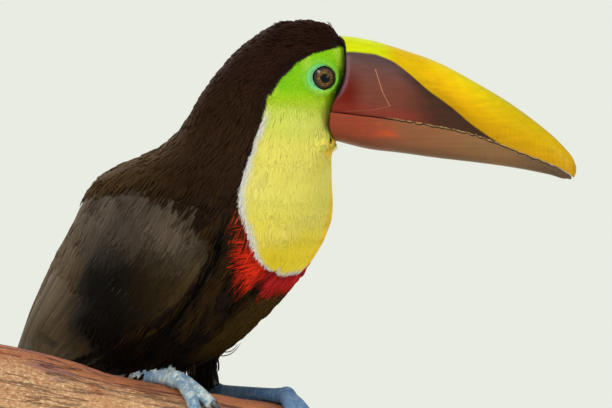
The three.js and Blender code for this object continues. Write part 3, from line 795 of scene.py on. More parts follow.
# %% Material of the bare skin
skin_look, add, shader = new_material("bare_skin_and_scutes")
tone_in = add("Attribute", attribute_name="tone")
foot_in, pad_in, wear_and_shade_in = (
    add("Attribute", attribute_name=name).outputs["Fac"] for name in ("foot", "from_pad", "worn")
)
place_in = add("TexCoord").outputs["Object"]
fine = add("TexNoise", {"Vector": place_in, "Scale": 900.0, "Detail": 4.0})
creases = add("TexVoronoi", {"Vector": place_in, "Scale": 1400.0}, feature="DISTANCE_TO_EDGE")
mottle = add("MapRange", (fine, 0.3, 0.7, 0.82, 1.15))
scuffs = add("TexNoise", {"Vector": place_in, "Scale": 210.0, "Detail": 6.0, "Roughness": 0.65})
scuffed = add("MapRange", (scuffs, 0.47, 0.6, 0.0, 0.85))
# Pale scuffs of wear, fewer on the far foot as painted shade.
scuffed = add("Math", (scuffed, wear_and_shade_in), operation="MULTIPLY")
worn_tone = add("Mix", (scuffed, tone_in, "#C3D0CE"), data_type="RGBA")
painted = add("VectorMath", (worn_tone, mottle), operation="MULTIPLY")
SCUTE_MM = 2.6
wave = add("Math", (pad_in, math.pi / SCUTE_MM), operation="MULTIPLY")
bent = add("Math", (scuffs, 3.0), operation="MULTIPLY")
wave = add("Math", (wave, bent), operation="ADD")
for step in ("SINE", "ABSOLUTE", "SQRT", "SQRT"):
    wave = add("Math", (wave,), operation=step)
relief = add("Mix", (foot_in, creases.outputs["Distance"], wave), data_type="FLOAT")
grooves = add("MapRange", (wave, 0.35, 0.75, 0.45, 1.0))
grooves = add("Mix", (foot_in, 1.0, grooves), data_type="FLOAT")
painted = add("VectorMath", (painted, grooves), operation="MULTIPLY")
relief = add("Math", (relief, fine), operation="ADD")
bump = add("Bump", {"Strength": 0.4, "Distance": 0.0005, "Height": relief})
rough = add("MapRange", (fine, 0.3, 0.7, 0.42, 0.6))
fill(shader, {
    "Base Color": painted, "Normal": bump, "Roughness": rough, "IOR": 1.4,
    "Specular IOR Level": 0.15, "Subsurface Weight": 0.12, "Subsurface Radius": (1.0, 0.6, 0.3),
    "Subsurface Scale": 0.0015,
})
skin.data.materials.append(skin_look)
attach(skin, "root")
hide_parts(*FLESH)
print("skin coloured")

# %% [markdown]
# ## Scatter the feather roots
# Feathers grow in even tracts. Geometry Nodes scatter points over the skin with a smallest
# distance between neighbours and a fixed seed, thinned by how much grows at each place, and
# keep each point's normal and its place on the skin's map.

# %% The scatter tree
def new_tree(name, sockets):
    tree = bpy.data.node_groups.new(name, "GeometryNodeTree")
    tree.interface.new_socket("Geometry", in_out="OUTPUT", socket_type="NodeSocketGeometry")
    tree.interface.new_socket("Geometry", in_out="INPUT", socket_type="NodeSocketGeometry")
    names = {}
    for label, kind in sockets.items():
        made = tree.interface.new_socket(label, in_out="INPUT", socket_type=kind)
        names[label] = made.identifier
    return tree, partial(node, tree), node(tree, "NodeGroupInput"), names


scatter, add, inputs, scatter_names = new_tree(
    "scatter_feather_roots",
    {"Spacing": "NodeSocketFloat", "Candidates": "NodeSocketFloat", "Seed": "NodeSocketInt"},
)
grows_in = add("GeometryNodeInputNamedAttribute", {"Name": "grows"}, data_type="FLOAT")
strewn = add("GeometryNodeDistributePointsOnFaces", {
    "Mesh": inputs.outputs["Geometry"], "Distance Min": inputs.outputs["Spacing"],
    "Density Max": inputs.outputs["Candidates"], "Density Factor": grows_in,
    "Seed": inputs.outputs["Seed"],
}, distribute_method="POISSON")
kept = add("GeometryNodeStoreNamedAttribute", {
    "Geometry": strewn.outputs["Points"], "Name": "out", "Value": strewn.outputs["Normal"],
}, data_type="FLOAT_VECTOR", domain="POINT")
as_mesh = add("GeometryNodePointsToVertices", (kept,))
add("NodeGroupOutput", (as_mesh,))
print("scatter tree of", len(scatter.nodes), "nodes")

# %% Strew roots over a surface
CANDIDATES_PER_SPACING = 4.0


def strew(surface, grows, spacing_mm, seed):
    """Roots, normals and map places, spaced over `surface` where `grows` is above 0."""
    if "grows" in surface.data.attributes:
        surface.data.attributes.remove(surface.data.attributes["grows"])
    set_attribute(surface.data, "grows", "FLOAT", grows)
    modifier = surface.modifiers.new("strew", "NODES")
    modifier.node_group = scatter
    modifier[scatter_names["Spacing"]] = spacing_mm * MM
    modifier[scatter_names["Candidates"]] = CANDIDATES_PER_SPACING / (spacing_mm * MM) ** 2
    modifier[scatter_names["Seed"]] = seed
    mesh = evaluated_mesh(surface)
    surface.modifiers.remove(modifier)
    surface.data.attributes.remove(surface.data.attributes["grows"])
    count = len(mesh.vertices)
    roots, out, place = np.empty(count * 3), np.empty(count * 3), np.empty(count * 2)
    mesh.vertices.foreach_get("co", roots)
    mesh.attributes["out"].data.foreach_get("vector", out)
    mesh.attributes["OFBake"].data.foreach_get("vector", place)
    bpy.data.meshes.remove(mesh)
    return roots.reshape(-1, 3), out.reshape(-1, 3), place.reshape(-1, 2)

# %% [markdown]
# ## Lay a lock on every root
# A small feather is built once, as a closed leaf with a ridge, of 18 triangles. Geometry
# Nodes put a copy on every root, turned to lie along the coat, sized by the root, with a
# little random spread in length, and then realize the copies into one plain mesh.

# %% One lock
LOCK_STATIONS = ((0.22, 0.42, 0.16), (0.55, 0.50, 0.50), (0.84, 0.30, 0.52))
LOCK_THICKNESS = 0.34


def lock_shape():
    points, along = [(0, 0, -0.45)], [0]
    for share, half, rise in LOCK_STATIONS:
        points += [(share, half, rise), (share, 0, rise + LOCK_THICKNESS), (share, -half, rise)]
        along += [share] * 3
    points.append((1, 0, 0.30))
    along.append(1)
    faces = [(0, 2, 1), (0, 3, 2), (0, 1, 3)]
    for ring in range(len(LOCK_STATIONS) - 1):
        for i in range(3):
            a, b = 1 + ring * 3 + i, 1 + ring * 3 + (i + 1) % 3
            faces += [(a, b, b + 3), (a, b + 3, a + 3)]
    last = len(points) - 1
    faces += [(last, last - 3, last - 2), (last, last - 2, last - 1), (last, last - 1, last - 3)]
    shape = new_object("one_lock", np.array(points), np.array(faces))
    face_out(shape.data)
    set_attribute(shape.data, "along", "FLOAT", along)
    return shape, np.array(points)


one_lock, lock_points = lock_shape()
print("lock of", len(lock_points), "points")

# %% The tree that lays locks
laying, add, inputs, laying_names = new_tree(
    "lay_locks",
    {"Shape": "NodeSocketObject", "Look": "NodeSocketMaterial",
     "Length spread": "NodeSocketFloat", "Seed": "NodeSocketInt"},
)
lie_in, out_in, size_in = (
    add("GeometryNodeInputNamedAttribute", {"Name": name}, data_type="FLOAT_VECTOR")
    for name in ("lie", "out", "size")
)
turned = add(
    "FunctionNodeAxesToRotation", (out_in, lie_in), primary_axis="Z", secondary_axis="X"
)
shape_in = add("GeometryNodeObjectInfo", {"Object": inputs.outputs["Shape"]})
least = add("Math", (1.0, inputs.outputs["Length spread"]), operation="SUBTRACT")
most = add("Math", (1.0, inputs.outputs["Length spread"]), operation="ADD")
random_length = add("FunctionNodeRandomValue", {
    "Min": least, "Max": most, "Seed": inputs.outputs["Seed"],
}, data_type="FLOAT")
stretch = add("CombineXYZ", (random_length, 1.0, 1.0))
scale = add("VectorMath", (size_in, stretch), operation="MULTIPLY")
laid = add("GeometryNodeInstanceOnPoints", {
    "Points": inputs.outputs["Geometry"], "Instance": shape_in.outputs["Geometry"],
    "Rotation": turned, "Scale": scale,
})
realized = add("GeometryNodeRealizeInstances", (laid,))
finished = add(
    "GeometryNodeSetMaterial", {"Geometry": realized, "Material": inputs.outputs["Look"]}
)
add("NodeGroupOutput", (finished,))
print("laying tree of", len(laying.nodes), "nodes")

# %% Lay the locks of one piece of the coat
LENGTH_SPREAD, PATCH = 0.22, 0.003


def lay_locks(name, roots, out, lie, sizes, tones, places, look, seed):
    """Lays one lock on each root and returns them as one finished piece of the coat."""
    mesh = bpy.data.meshes.new(name + "_roots")
    mesh.vertices.add(len(roots))
    mesh.vertices.foreach_set("co", roots.astype(np.float32).ravel())
    set_attribute(mesh, "out", "FLOAT_VECTOR", out)
    set_attribute(mesh, "lie", "FLOAT_VECTOR", lie)
    set_attribute(mesh, "size", "FLOAT_VECTOR", sizes)
    set_colour(mesh, "tone", tones)
    carrier = bpy.data.objects.new(name + "_roots", mesh)
    bpy.context.scene.collection.objects.link(carrier)
    modifier = carrier.modifiers.new("lay", "NODES")
    modifier.node_group = laying
    modifier[laying_names["Shape"]] = one_lock
    modifier[laying_names["Look"]] = look
    modifier[laying_names["Length spread"]] = LENGTH_SPREAD
    modifier[laying_names["Seed"]] = seed
    result = evaluated_mesh(carrier)
    bpy.data.objects.remove(carrier)
    for extra in ("out", "lie", "size"):
        if extra in result.attributes:
            result.attributes.remove(result.attributes[extra])
    result.name = name
    piece = bpy.data.objects.new(name, result)
    bpy.context.scene.collection.objects.link(piece)
    corners = corner_points_of(result)
    which, part = corners // len(lock_points), corners % len(lock_points)
    spread = (lock_points[:, :2] - (0.5, 0)) * PATCH
    set_map(result, places[which] + spread[part])
    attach(piece, "root")
    print(name, len(roots), "locks,", len(result.polygons), "triangles")
    return piece


print("lengths vary by", LENGTH_SPREAD)

# %% [markdown]
# ## The lie of the coat
# Feathers point away from the bill: back over the crown, down the nape, down the neck and
# back along the trunk to the tail. On the breast the red feathers also fan outwards. The
# direction is given as ahead and up at each height, and laid flat on the skin. A lock aims
# at the skin one length further on, so that it follows a rounded body instead of standing
# off it.

# %% Directions of the coat
LIE_HEIGHTS_MM = (215, 245, 300, 350, 375, 400, 425, 440, 450)
LIE_AHEAD = (-0.50, -0.62, -0.60, -0.50, -0.42, -0.50, -0.80, -0.97, -1.0)
LIE_UP = (-0.87, -0.78, -0.80, -0.87, -0.91, -0.86, -0.60, -0.22, 0.0)
skin_tree = BVHTree.FromPolygons(skin_points.tolist(), skin_corners.tolist())


def unit(vectors):
    return vectors / np.maximum(np.linalg.norm(vectors, axis=1, keepdims=True), 1e-12)


def lie_of_coat(points, out):
    ahead, left, height = about_neck(points)
    turn = neck_turn(height)
    forward = np.interp(height, LIE_HEIGHTS_MM, LIE_AHEAD)
    up = np.interp(height, LIE_HEIGHTS_MM, LIE_UP)
    front = ramp(ahead, -4, 12) * ramp(height, 292, 312) * (1 - ramp(height, 400, 415))
    forward = forward * (1 - 0.75 * front)
    sideways = 0.25 * np.sign(left) * front * ramp(-height, -330, -300)
    beside_bib = ramp(red_depth(ahead, left, height), -3, 0)
    beside_bib = beside_bib * (bib_depth(ahead, left, height) < -0.8)
    sideways = sideways + 0.8 * np.sign(left) * beside_bib * ramp(height, 294, 310)
    up = up * (1 - 0.75 * beside_bib * ramp(height, 298, 316))
    far_back = ramp(-ahead, 68, 105) * ramp(height, 250, 285) * (1 - ramp(height, 330, 350))
    forward, up = forward * (1 - 0.3 * far_back), up * (1 + 0.12 * far_back)
    x = forward * np.sin(turn) + sideways * np.cos(turn)
    lie = np.stack([x, sideways * np.sin(turn) - forward * np.cos(turn), up], -1)
    return unit(lie - out * (lie * out).sum(1, keepdims=True))


def aimed(roots, out, lie, length_mm):
    """Turns each lock towards the skin one length on, and averages the normals."""
    goals = roots + lie * (length_mm * MM)[:, None]
    hits = [skin_tree.find_nearest(goal) for goal in goals.tolist()]
    ends = np.array([hit[0][:] for hit in hits])
    end_out = np.array([hit[1][:] for hit in hits])
    lie = unit(ends - roots)
    out = unit(out + end_out)
    return unit(out - lie * (lie * out).sum(1, keepdims=True)), lie


def shuffled(values, out, spread, rng):
    """Turns directions a little at random, within the skin's plane."""
    return unit(values + np.cross(out, values) * rng.normal(0, spread, (len(values), 1)))

# %% [markdown]
# ### Soft plumage
# Contour feathers are keratin, which is IOR 1.54, with a satin roughness near 0.6 and a soft
# sheen from the loose barbs at the edges. Barbs lie about 0.4 mm apart. Each lock is darker
# at its root, where its neighbours shade it, and a little paler at the tip.

# %% Material of the locks
soft_plumage, add, shader = new_material("soft_contour_plumage")
tone_in = add("Attribute", attribute_name="tone")
along_in = add("Attribute", attribute_name="along").outputs["Fac"]
place_in = add("TexCoord").outputs["Object"]
BARB_SCALE = 1 / (0.4 * MM)
barbs = add("TexNoise", {"Vector": place_in, "Scale": BARB_SCALE * 0.3, "Detail": 3.0})
shade = add("MapRange", (along_in, 0.0, 1.0, 0.72, 1.1))
grain = add("MapRange", (barbs, 0.25, 0.75, 0.85, 1.15))
shade = add("Math", (shade, grain), operation="MULTIPLY")
parts = add("SeparateColor", (tone_in,))
bright = add("MapRange", (parts.outputs[1], 0.15, 0.5, 0.0, 0.85))
shade = add("Mix", (bright, shade, 1.0), data_type="FLOAT")
painted = add("VectorMath", (tone_in, shade), operation="MULTIPLY")
rough = add("MapRange", (barbs, 0.3, 0.7, 0.48, 0.68))
bump = add("Bump", {"Strength": 0.25, "Distance": 0.0003, "Height": barbs})
soft = add("Math", (bright, 0.35), operation="MULTIPLY")
fill(shader, {
    "Base Color": painted, "Roughness": rough, "Normal": bump, "Subsurface Weight": soft,
    "Subsurface Radius": (1.0, 0.85, 0.4), "Subsurface Scale": 0.0012, "IOR": 1.54,
    "Specular IOR Level": 0.05,
})
print("plumage material ready")

# %% Tracts: where each kind of lock grows, how far apart, and how long, wide and deep
def from_shoulder(forward, height):
    return (42 - forward) * 0.83 + (330 - height) * 0.56


ahead, left, height = about_neck(skin_points)
SOLID_KINDS = ("head", "neck", "trunk", "wing", "tail", "thigh")
solid_is = {kind: named(kind)[skin_solid] for kind in SOLID_KINDS}
foot_tree = BVHTree.FromPolygons(skin_points.tolist(), skin_corners[foot_corner].tolist())
feathered = (face_depth(ahead, left, height) < 0.2) & ~foot_point
on_cheek = (bib_depth(ahead, left, height) > 0) & (height < 409) & (height > 395) & ~foot_point
sparse = np.where(on_cheek, ramp(-face_depth(ahead, left, height), -8, 1), 1.0)
feathered |= on_cheek
yellow = bib_depth(ahead, left, height) > -0.6
red = (red_depth(ahead, left, height) > -4) & ~yellow
loose = feathered & ~yellow & ~red
WING_LOWER = ((42, 330), (36, 309), (18, 286.5), (-16, 253), (-72, 226), (-148, 202))
WING_UPPER = ((42, 330), (20, 345), (-50, 343), (-95, 305), (-123, 258), (-148, 202))
forward = forward_of(skin_points)
behind_mantle = (height < along_line(forward, MANTLE_LINE)) & (height > 226)
middle_ahead = np.interp(height, (202, 254, 302, 337, 354), (-126, -55, -18, -1, 8))
over_wing = behind_mantle & (height > 300) & (forward < 30)
over_wing |= behind_mantle & (forward < middle_ahead - 24)
scapular = loose & ~solid_is["tail"] & ~solid_is["thigh"] & over_wing & ~solid_is["wing"]
covert = loose & solid_is["wing"] & (from_shoulder(forward, height) < 112)
TRACTS = {
    "crown": (loose & (height > 396), 0.9, (6.0, 1.05, 1.15)),
    "nape": (
        loose & (height <= 396) & (solid_is["head"] | solid_is["neck"]) & ~scapular, 1.0,
        (9.5, 1.2, 1.5),
    ),
    "bib": (feathered & yellow, 0.75, (8.5, 1.2, 0.3)),
    "red_band": (feathered & red, 0.85, (10.5, 0.9, 1.4)),
    "body": (loose & (solid_is["trunk"] | solid_is["thigh"]) & ~scapular, 1.35, (14.0, 1.5, 2.0)),
    "scapular": (scapular, 1.35, (18.0, 2.7, 1.1)),
    "covert": (covert, 1.3, (17.0, 2.9, 0.7)),
}
for name, (grows, spacing, _) in TRACTS.items():
    print(name, "grows on", int(grows.sum()), "points of skin, spaced", spacing, "mm")

# %% Grow the locks of one tract
TONE_SPREAD = {"bib": 0.06, "scapular": 0.12, "covert": 0.12}
FOREHEAD_FROM_MM, RAISED_SHARE = 436, 0.06


def grow(name, seed):
    """Roots of one tract, with the lie, size and colour of the lock on each."""
    grows, spacing, (length, width, deep) = TRACTS[name]
    roots, out, places = strew(skin, grows * sparse, spacing, seed)
    to_foot = np.array([foot_tree.find_nearest(root)[3] for root in roots.tolist()]) / MM
    chosen = ((bib_depth(*about_neck(roots)) > -0.3) == (name == "bib")) & (to_foot > 1.8)
    roots, out, places, to_foot = roots[chosen], out[chosen], places[chosen], to_foot[chosen]
    rng = np.random.default_rng(seed)
    ahead, left, height = about_neck(roots)
    on_wing = name in ("scapular", "covert")
    lie = shuffled(lie_of_coat(roots, out), out, 0.05 if on_wing else 0.1, rng)
    lengths = np.full(len(roots), length)
    gap = -face_depth(ahead, left, height)
    lengths *= 0.2 + 0.8 * ramp(gap, -7 if name == "bib" else 0, 12)
    lengths *= 1 - 0.5 * furrow_share(ahead, left, height)
    if name == "bib":
        lengths *= 0.4 + 0.6 * ramp(bib_depth(ahead, left, height), 1, 9)
    forward = forward_of(roots)
    at_tail = ramp(-forward, 102, 112) * (1 - ramp(height, 238, 250)) * (not on_wing)
    lengths *= 1 - 0.5 * at_tail
    out, lie = aimed(roots, out, lie, lengths)
    fringe = np.clip(rng.normal(0, 2.4, len(roots)), -4, 3.2)
    tones = wing_tone(roots) if on_wing else markings(roots, fringe)
    spread = TONE_SPREAD.get(name, 0.2)
    tones = tones * rng.uniform(1 - spread, 1 + spread, (len(roots), 1))
    # Bib locks next to the bare face are painted lighter, against the shade of the small locks
    # there, and locks in the breast furrow are painted darker, as painted shade.
    painted_light = 0.14 * ramp(height, 386, 400) * (name == "bib")
    tones *= (1 - 0.75 * furrow_share(ahead, left, height) + painted_light)[:, None]
    if on_wing:
        pale = ramp(streaks_of(roots, 7, 24), 0.0, 0.5)
        dark = ramp(streaks_of(roots, 8, 25), 0.0, 0.5)
        tones = tones * (1 + 0.3 * pale - 0.2 * dark)[:, None]
        at_flight = ramp(from_shoulder(forward, height), 100, 115) * (name == "covert")
        lengths = lengths * (1 - 0.4 * at_flight)
    # A painted shadow: locks along the wing's front edge are darkened, as the shade in the groove
    # there.
    before_wing = forward - along_line(height, WING_FRONT) + rng.normal(0, 0.3, len(roots))
    shaded = (1 - ramp(np.abs(before_wing + 0.5), 1.0, 2.8)) * (np.abs(left) > WING_OUT_MM)
    shaded = shaded * (height < WING_FRONT[-1][0] + 1)
    tones *= (1 - 0.97 * shaded * ramp(height, 244, 262))[:, None]
    sizes = np.stack([lengths, np.full(len(roots), width), np.full(len(roots), deep)], 1) * MM
    sizes[:, 1:] *= (0.5 + 0.5 * lengths / length)[:, None]
    sizes[:, 1] *= 1 + 0.9 * (1 - ramp(to_foot, 2, 10))
    raised = rng.random(len(roots)) < (0 if on_wing or name == "bib" else RAISED_SHARE)
    on_forehead = (height > FOREHEAD_FROM_MM) & (ahead > 2)
    sizes[raised, 2] *= 1.5
    ruffled = int(on_forehead.sum())
    sizes[on_forehead, 2] *= rng.uniform(0.7, 1.2, ruffled)
    sizes[on_forehead, 0] *= rng.uniform(0.7, 1.35, ruffled)
    rise = rng.uniform(-0.1, 0.4, len(roots)) * ramp(ripple_of(roots, 12, 6), -0.2, 0.5)
    rise = np.where(on_forehead, rise, 0)
    lie = unit(lie + out * rise[:, None])
    out = unit(out - lie * (lie * out).sum(1, keepdims=True))
    return roots, out, lie, sizes, tones, places

# %% Lay every tract
MOST_LOCKS = 10900
for seed, name in enumerate(TRACTS, 11):
    parts = grow(name, seed)
    pieces = math.ceil(len(parts[0]) / MOST_LOCKS)
    order = np.argsort(parts[0][:, 2], kind="stable")
    for number, chosen in enumerate(np.array_split(order, pieces), 1):
        chosen = np.sort(chosen)
        lay_locks(f"coat_{name}_{number}", *(part[chosen] for part in parts), soft_plumage, seed)

bpy.data.objects.remove(one_lock)

# %% [markdown]
# ## Wing and tail feathers
# A folded wing shows rows of coverts like tiles on its fore part and long flight feathers
# that close like a fan behind them. Each is one closed vane with a raised shaft. The wing's
# lower and upper edges guide them: a vane starts at one share of the wing's length, ends at
# another, and is laid point by point on the skin, so that it wraps the body.

# %% Reading a place on the wing, from shoulder to tip and from lower to upper edge
def edge_reader(line):
    places = np.array(line, float)
    run = np.r_[0, np.cumsum(np.sqrt(np.linalg.norm(np.diff(places, axis=0), axis=1)))]
    run = run / run[-1]
    even = np.arange(len(line)) / (len(line) - 1)

    def read(share):
        key = np.interp(share, even, run)
        return np.stack([smooth_line(key, list(zip(run, places[:, i]))) for i in (0, 1)], -1)

    return read


def smooth_line(value, line):
    """Reads a line of points with a smooth curve through them."""
    keys, places = (np.array(part, float) for part in zip(*line))
    slopes = np.gradient(places, keys)
    i = np.clip(np.searchsorted(keys, value) - 1, 0, len(keys) - 2)
    span = keys[i + 1] - keys[i]
    t = np.clip((value - keys[i]) / span, 0, 1)
    a, b, c, d = places[i], slopes[i] * span, places[i + 1], slopes[i + 1] * span
    return (
        (2 * t**3 - 3 * t**2 + 1) * a + (t**3 - 2 * t**2 + t) * b
        + (3 * t**2 - 2 * t**3) * c + (t**3 - t**2) * d
    )


lower_edge, upper_edge = edge_reader(WING_LOWER), edge_reader(WING_UPPER)


def wing_spot(along, across):
    """Ahead and height in millimetres, by share of the wing's length and width."""
    return lower_edge(along) * (1 - across)[:, None] + upper_edge(along) * across[:, None]


REACH = 0.13


def cast(starts, directions):
    """Where rays from outside first meet the skin, and the normals there."""
    spots, outs = [], []
    for start, direction in zip(starts.tolist(), directions.tolist()):
        hit = skin_tree.ray_cast(Vector(start), Vector(direction))
        if hit[0] is None:
            near = skin_tree.find_nearest(Vector(start) + Vector(direction) * REACH)
            hit = (near[0], near[1])
        spots.append(hit[0][:])
        outs.append(hit[1][:])
    return np.array(spots), np.array(outs)

# %% A vane laid along a path on the skin
VANE_STATIONS, VANE_ACROSS = 14, 7
VANE_THICK_MM, SHAFT_MM, CAMBER, SMOOTH_ROUNDS = 0.22, 0.16, 0.09, 4
across_shares = np.linspace(-1, 1, VANE_ACROSS)
station_shares = np.linspace(0, 1, VANE_STATIONS)


def vane_outline(share, tip):
    """Half width of a feather along its length: narrow at the root, round at the tip."""
    start = 0.35 + 0.65 * np.sin(np.clip(share / 0.45, 0, 1) * math.pi / 2)
    end = np.clip((share - (1 - tip)) / tip, 0, 1)
    return start * np.sqrt(np.maximum(1 - end**2.2, 0.02))


def vane(path, out, width_mm, tip, roll_mm, lift_mm):
    """Points of one closed vane: a top sheet, then a bottom sheet, over a path of stations."""
    for _ in range(SMOOTH_ROUNDS):
        out[1:-1] = unit(out[:-2] + out[1:-1] * 2 + out[2:])
        path[1:-1] = (path[:-2] + path[1:-1] * 2 + path[2:]) / 4
    ahead = unit(np.gradient(path, axis=0))
    side = unit(np.cross(out, ahead))
    half = vane_outline(station_shares, tip) * width_mm / 2
    rise = lift_mm[0] + (lift_mm[1] - lift_mm[0]) * station_shares
    shaft = SHAFT_MM * (1 - station_shares) * (np.abs(across_shares) < 0.1)[:, None]
    camber = -CAMBER * width_mm * across_shares[:, None] ** 2 * half[None] / (width_mm / 2)
    roll = roll_mm * across_shares[:, None] * half[None] / (width_mm / 2)
    tops = rise[None] + camber + shaft - roll
    edge = 1 - 0.85 * np.abs(across_shares[:, None]) ** 3
    sheets = []
    for level in (0, -VANE_THICK_MM):
        offset = tops + level * edge
        sheet = (
            path[None] + side[None] * (across_shares[:, None] * half[None])[..., None] * MM
            + out[None] * offset[..., None] * MM
        )
        sheets.append(sheet.reshape(-1, 3))
    return np.concatenate(sheets)


def vane_faces():
    """Quads of the top sheet, of the bottom sheet, and of the walls between them."""
    count = VANE_STATIONS * VANE_ACROSS
    index = np.arange(count).reshape(VANE_ACROSS, VANE_STATIONS)
    a, b = index[:-1, :-1].ravel(), index[1:, :-1].ravel()
    c, d = index[1:, 1:].ravel(), index[:-1, 1:].ravel()
    top = np.stack([a, b, c, d], 1)
    border = np.concatenate([index[0], index[1:, -1], index[-1, -2::-1], index[-2:0:-1, 0]])
    following = np.roll(border, -1)
    walls = np.stack([border, following, following + count, border + count], 1)
    return np.concatenate([top, top[:, ::-1] + count, walls[:, ::-1]])


VANE_FACES = vane_faces()
print("a vane has", len(VANE_FACES), "faces")

# %% Join vanes into one piece
def join_vanes(name, vanes, tones, facing, look):
    """Joins vanes into one piece, with colours, barb places and the skin's map."""
    size = len(vanes[0])
    points = np.concatenate(vanes)
    faces = np.concatenate([VANE_FACES + i * size for i in range(len(vanes))])
    piece = new_object(name, points, faces)
    share = np.tile(np.tile(station_shares, VANE_ACROSS), 2 * len(vanes))
    side = np.tile(np.tile(np.repeat(across_shares, VANE_STATIONS), 2), len(vanes))
    lengths = [np.linalg.norm(np.diff(v[:VANE_STATIONS], axis=0), axis=1).sum() for v in vanes]
    run = share * np.repeat(lengths, size) / MM
    number = np.repeat(np.arange(len(vanes)) * 1.7, size)
    set_attribute(piece.data, "vane", "FLOAT_VECTOR", np.stack([side, run, number], 1))
    set_attribute(piece.data, "along", "FLOAT", share)
    set_colour(piece.data, "tone", np.concatenate(tones))
    set_side_map(piece.data, points, facing)
    face_out(piece.data)
    piece.data.materials.append(look)
    piece.data.shade_smooth()
    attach(piece, "root")
    print(name, len(vanes), "vanes,", 2 * len(piece.data.polygons), "triangles")
    return piece

# %% [markdown]
# ### Vaned plumage
# Flight feathers and coverts are closed webs of barbs that slant from the shaft at about 35
# degrees, half a millimetre apart, drawn a little coarser here so that they show. They are
# smoother than the soft plumage and a little glossy. Their grey sheen under the mantle is
# painted sheen in their tone, and each is painted darker at its root, as painted shade.

# %% Material of the vanes
vaned, add, shader = new_material("glossy_vaned_plumage_painted_sheen")
tone_in = add("Attribute", attribute_name="tone")
vane_in = add("Attribute", attribute_name="vane").outputs["Vector"]
along_in = add("Attribute", attribute_name="along").outputs["Fac"]
split = add("SeparateXYZ", (vane_in,))
from_shaft = add("Math", (split.outputs[0],), operation="ABSOLUTE")
BARB_SLANT_MM, BARB_STEP_MM = 9.0, 0.8
barb_run = add("Math", (from_shaft, -BARB_SLANT_MM, split.outputs[1]), operation="MULTIPLY_ADD")
barb_place = add("CombineXYZ", (barb_run, split.outputs[0], split.outputs[2]))
barb_space = add("Mapping", {"Vector": barb_place, "Scale": (1 / BARB_STEP_MM, 0.5, 5)})
barbs = add("TexNoise", {"Vector": barb_space, "Scale": 1.0, "Detail": 3.0})
long_space = add("Mapping", {"Vector": vane_in, "Scale": (4, 0.05, 5)})
streaks = add("TexNoise", {"Vector": long_space, "Scale": 1.0, "Detail": 4.0})
# Each vane is painted darker at its root, as painted shade from the feathers lying over it.
shade = add("MapRange", (along_in, 0.0, 1.0, 0.7, 1.15))
grain = add("MapRange", (streaks, 0.3, 0.7, 0.7, 1.35))
fine = add("MapRange", (barbs, 0.3, 0.7, 0.85, 1.15))
border = add("MapRange", (from_shaft, 0.45, 1.0, 1.15, 0.55))
for part in (grain, fine, border):
    shade = add("Math", (shade, part), operation="MULTIPLY")
painted = add("VectorMath", (tone_in, shade), operation="MULTIPLY")
rough = add("MapRange", (streaks, 0.3, 0.7, 0.38, 0.58))
relief = add("Math", (barbs, streaks), operation="ADD")
bump = add("Bump", {"Strength": 0.3, "Distance": 0.0004, "Height": relief})
fill(shader, {
    "Base Color": painted, "Roughness": rough, "Normal": bump, "IOR": 1.54,
    "Specular IOR Level": 0.1,
})
print("vane material of", len(vaned.node_tree.nodes), "nodes")

# %% Rows of the folded wing
# Each row: start and end by share of the wing's length, width and spacing in millimetres,
# from which share of the wing's width to which, roundness of tip, and lift at root and tip.
ROWS = (
    (0.52, 0.985, 10.0, 4.0, 0.3, 1.0, 0.16, (0.3, 0.6)),
    (0.42, 0.80, 10.0, 4.0, 0.0, 0.96, 0.3, (0.1, 1.1)),
    (0.45, 0.90, 9.0, 4.0, 0.28, 1.0, 0.22, (0.3, 1.3)),
    (0.50, 0.97, 9.0, 3.6, 0.0, 0.46, 0.16, (0.4, 1.1)),
)
FLANK_X_MM = 160


def wing_vanes(side, seed):
    rng = np.random.default_rng(seed)
    vanes, tones = [], []
    for number, (start, end, width, spacing, low, high, tip, lift) in enumerate(ROWS):
        middle = np.array([(start * 2 + end) / 3])
        chord = np.linalg.norm(upper_edge(middle) - lower_edge(middle))
        count = max(2, round(chord * (high - low) / spacing))
        for i in range(count):
            place = low + (high - low) * (i + 0.5 * (number % 2)) / count
            begin = start + rng.normal(0, 0.006)
            stop = end + rng.normal(0, 0.008)
            if number == len(ROWS) - 1:
                stop = 0.86 + 0.14 * (1 - i / count)
            along = begin + (stop - begin) * station_shares
            drift = place * (1 - 0.1 * station_shares) + rng.normal(0, 0.01) * station_shares
            spots = wing_spot(along, drift)
            starts = in_metres(side * FLANK_X_MM, spots[:, 0], spots[:, 1])
            path, out = cast(starts, np.tile([-side, 0.0, 0.0], (VANE_STATIONS, 1)))
            roll = -side * 0.35
            points = vane(path, out, width * rng.uniform(0.93, 1.07), tip, roll, lift)
            vanes.append(points)
            tones.append(wing_tone(points) * rng.uniform(0.7, 1.25))
    return vanes, tones


for side, name, facing in ((1, "left", 0), (-1, "right", 1)):
    join_vanes("wing_vanes_" + name, *wing_vanes(side, 31 + side), facing, vaned)

# %% Tail feathers, above and below
TAIL_ROOT, TAIL_PITCH, TAIL_LENGTH_MM = (-115, 228), math.radians(68), 166
TAIL_FEATHERS, TAIL_ROOT_HALF_MM, TAIL_TIP_HALF_MM, TAIL_WIDTH_MM = 10, 12, 20, 16
# The last station that lies on the skin. The ones after it run straight on.
ON_SKIN = 11


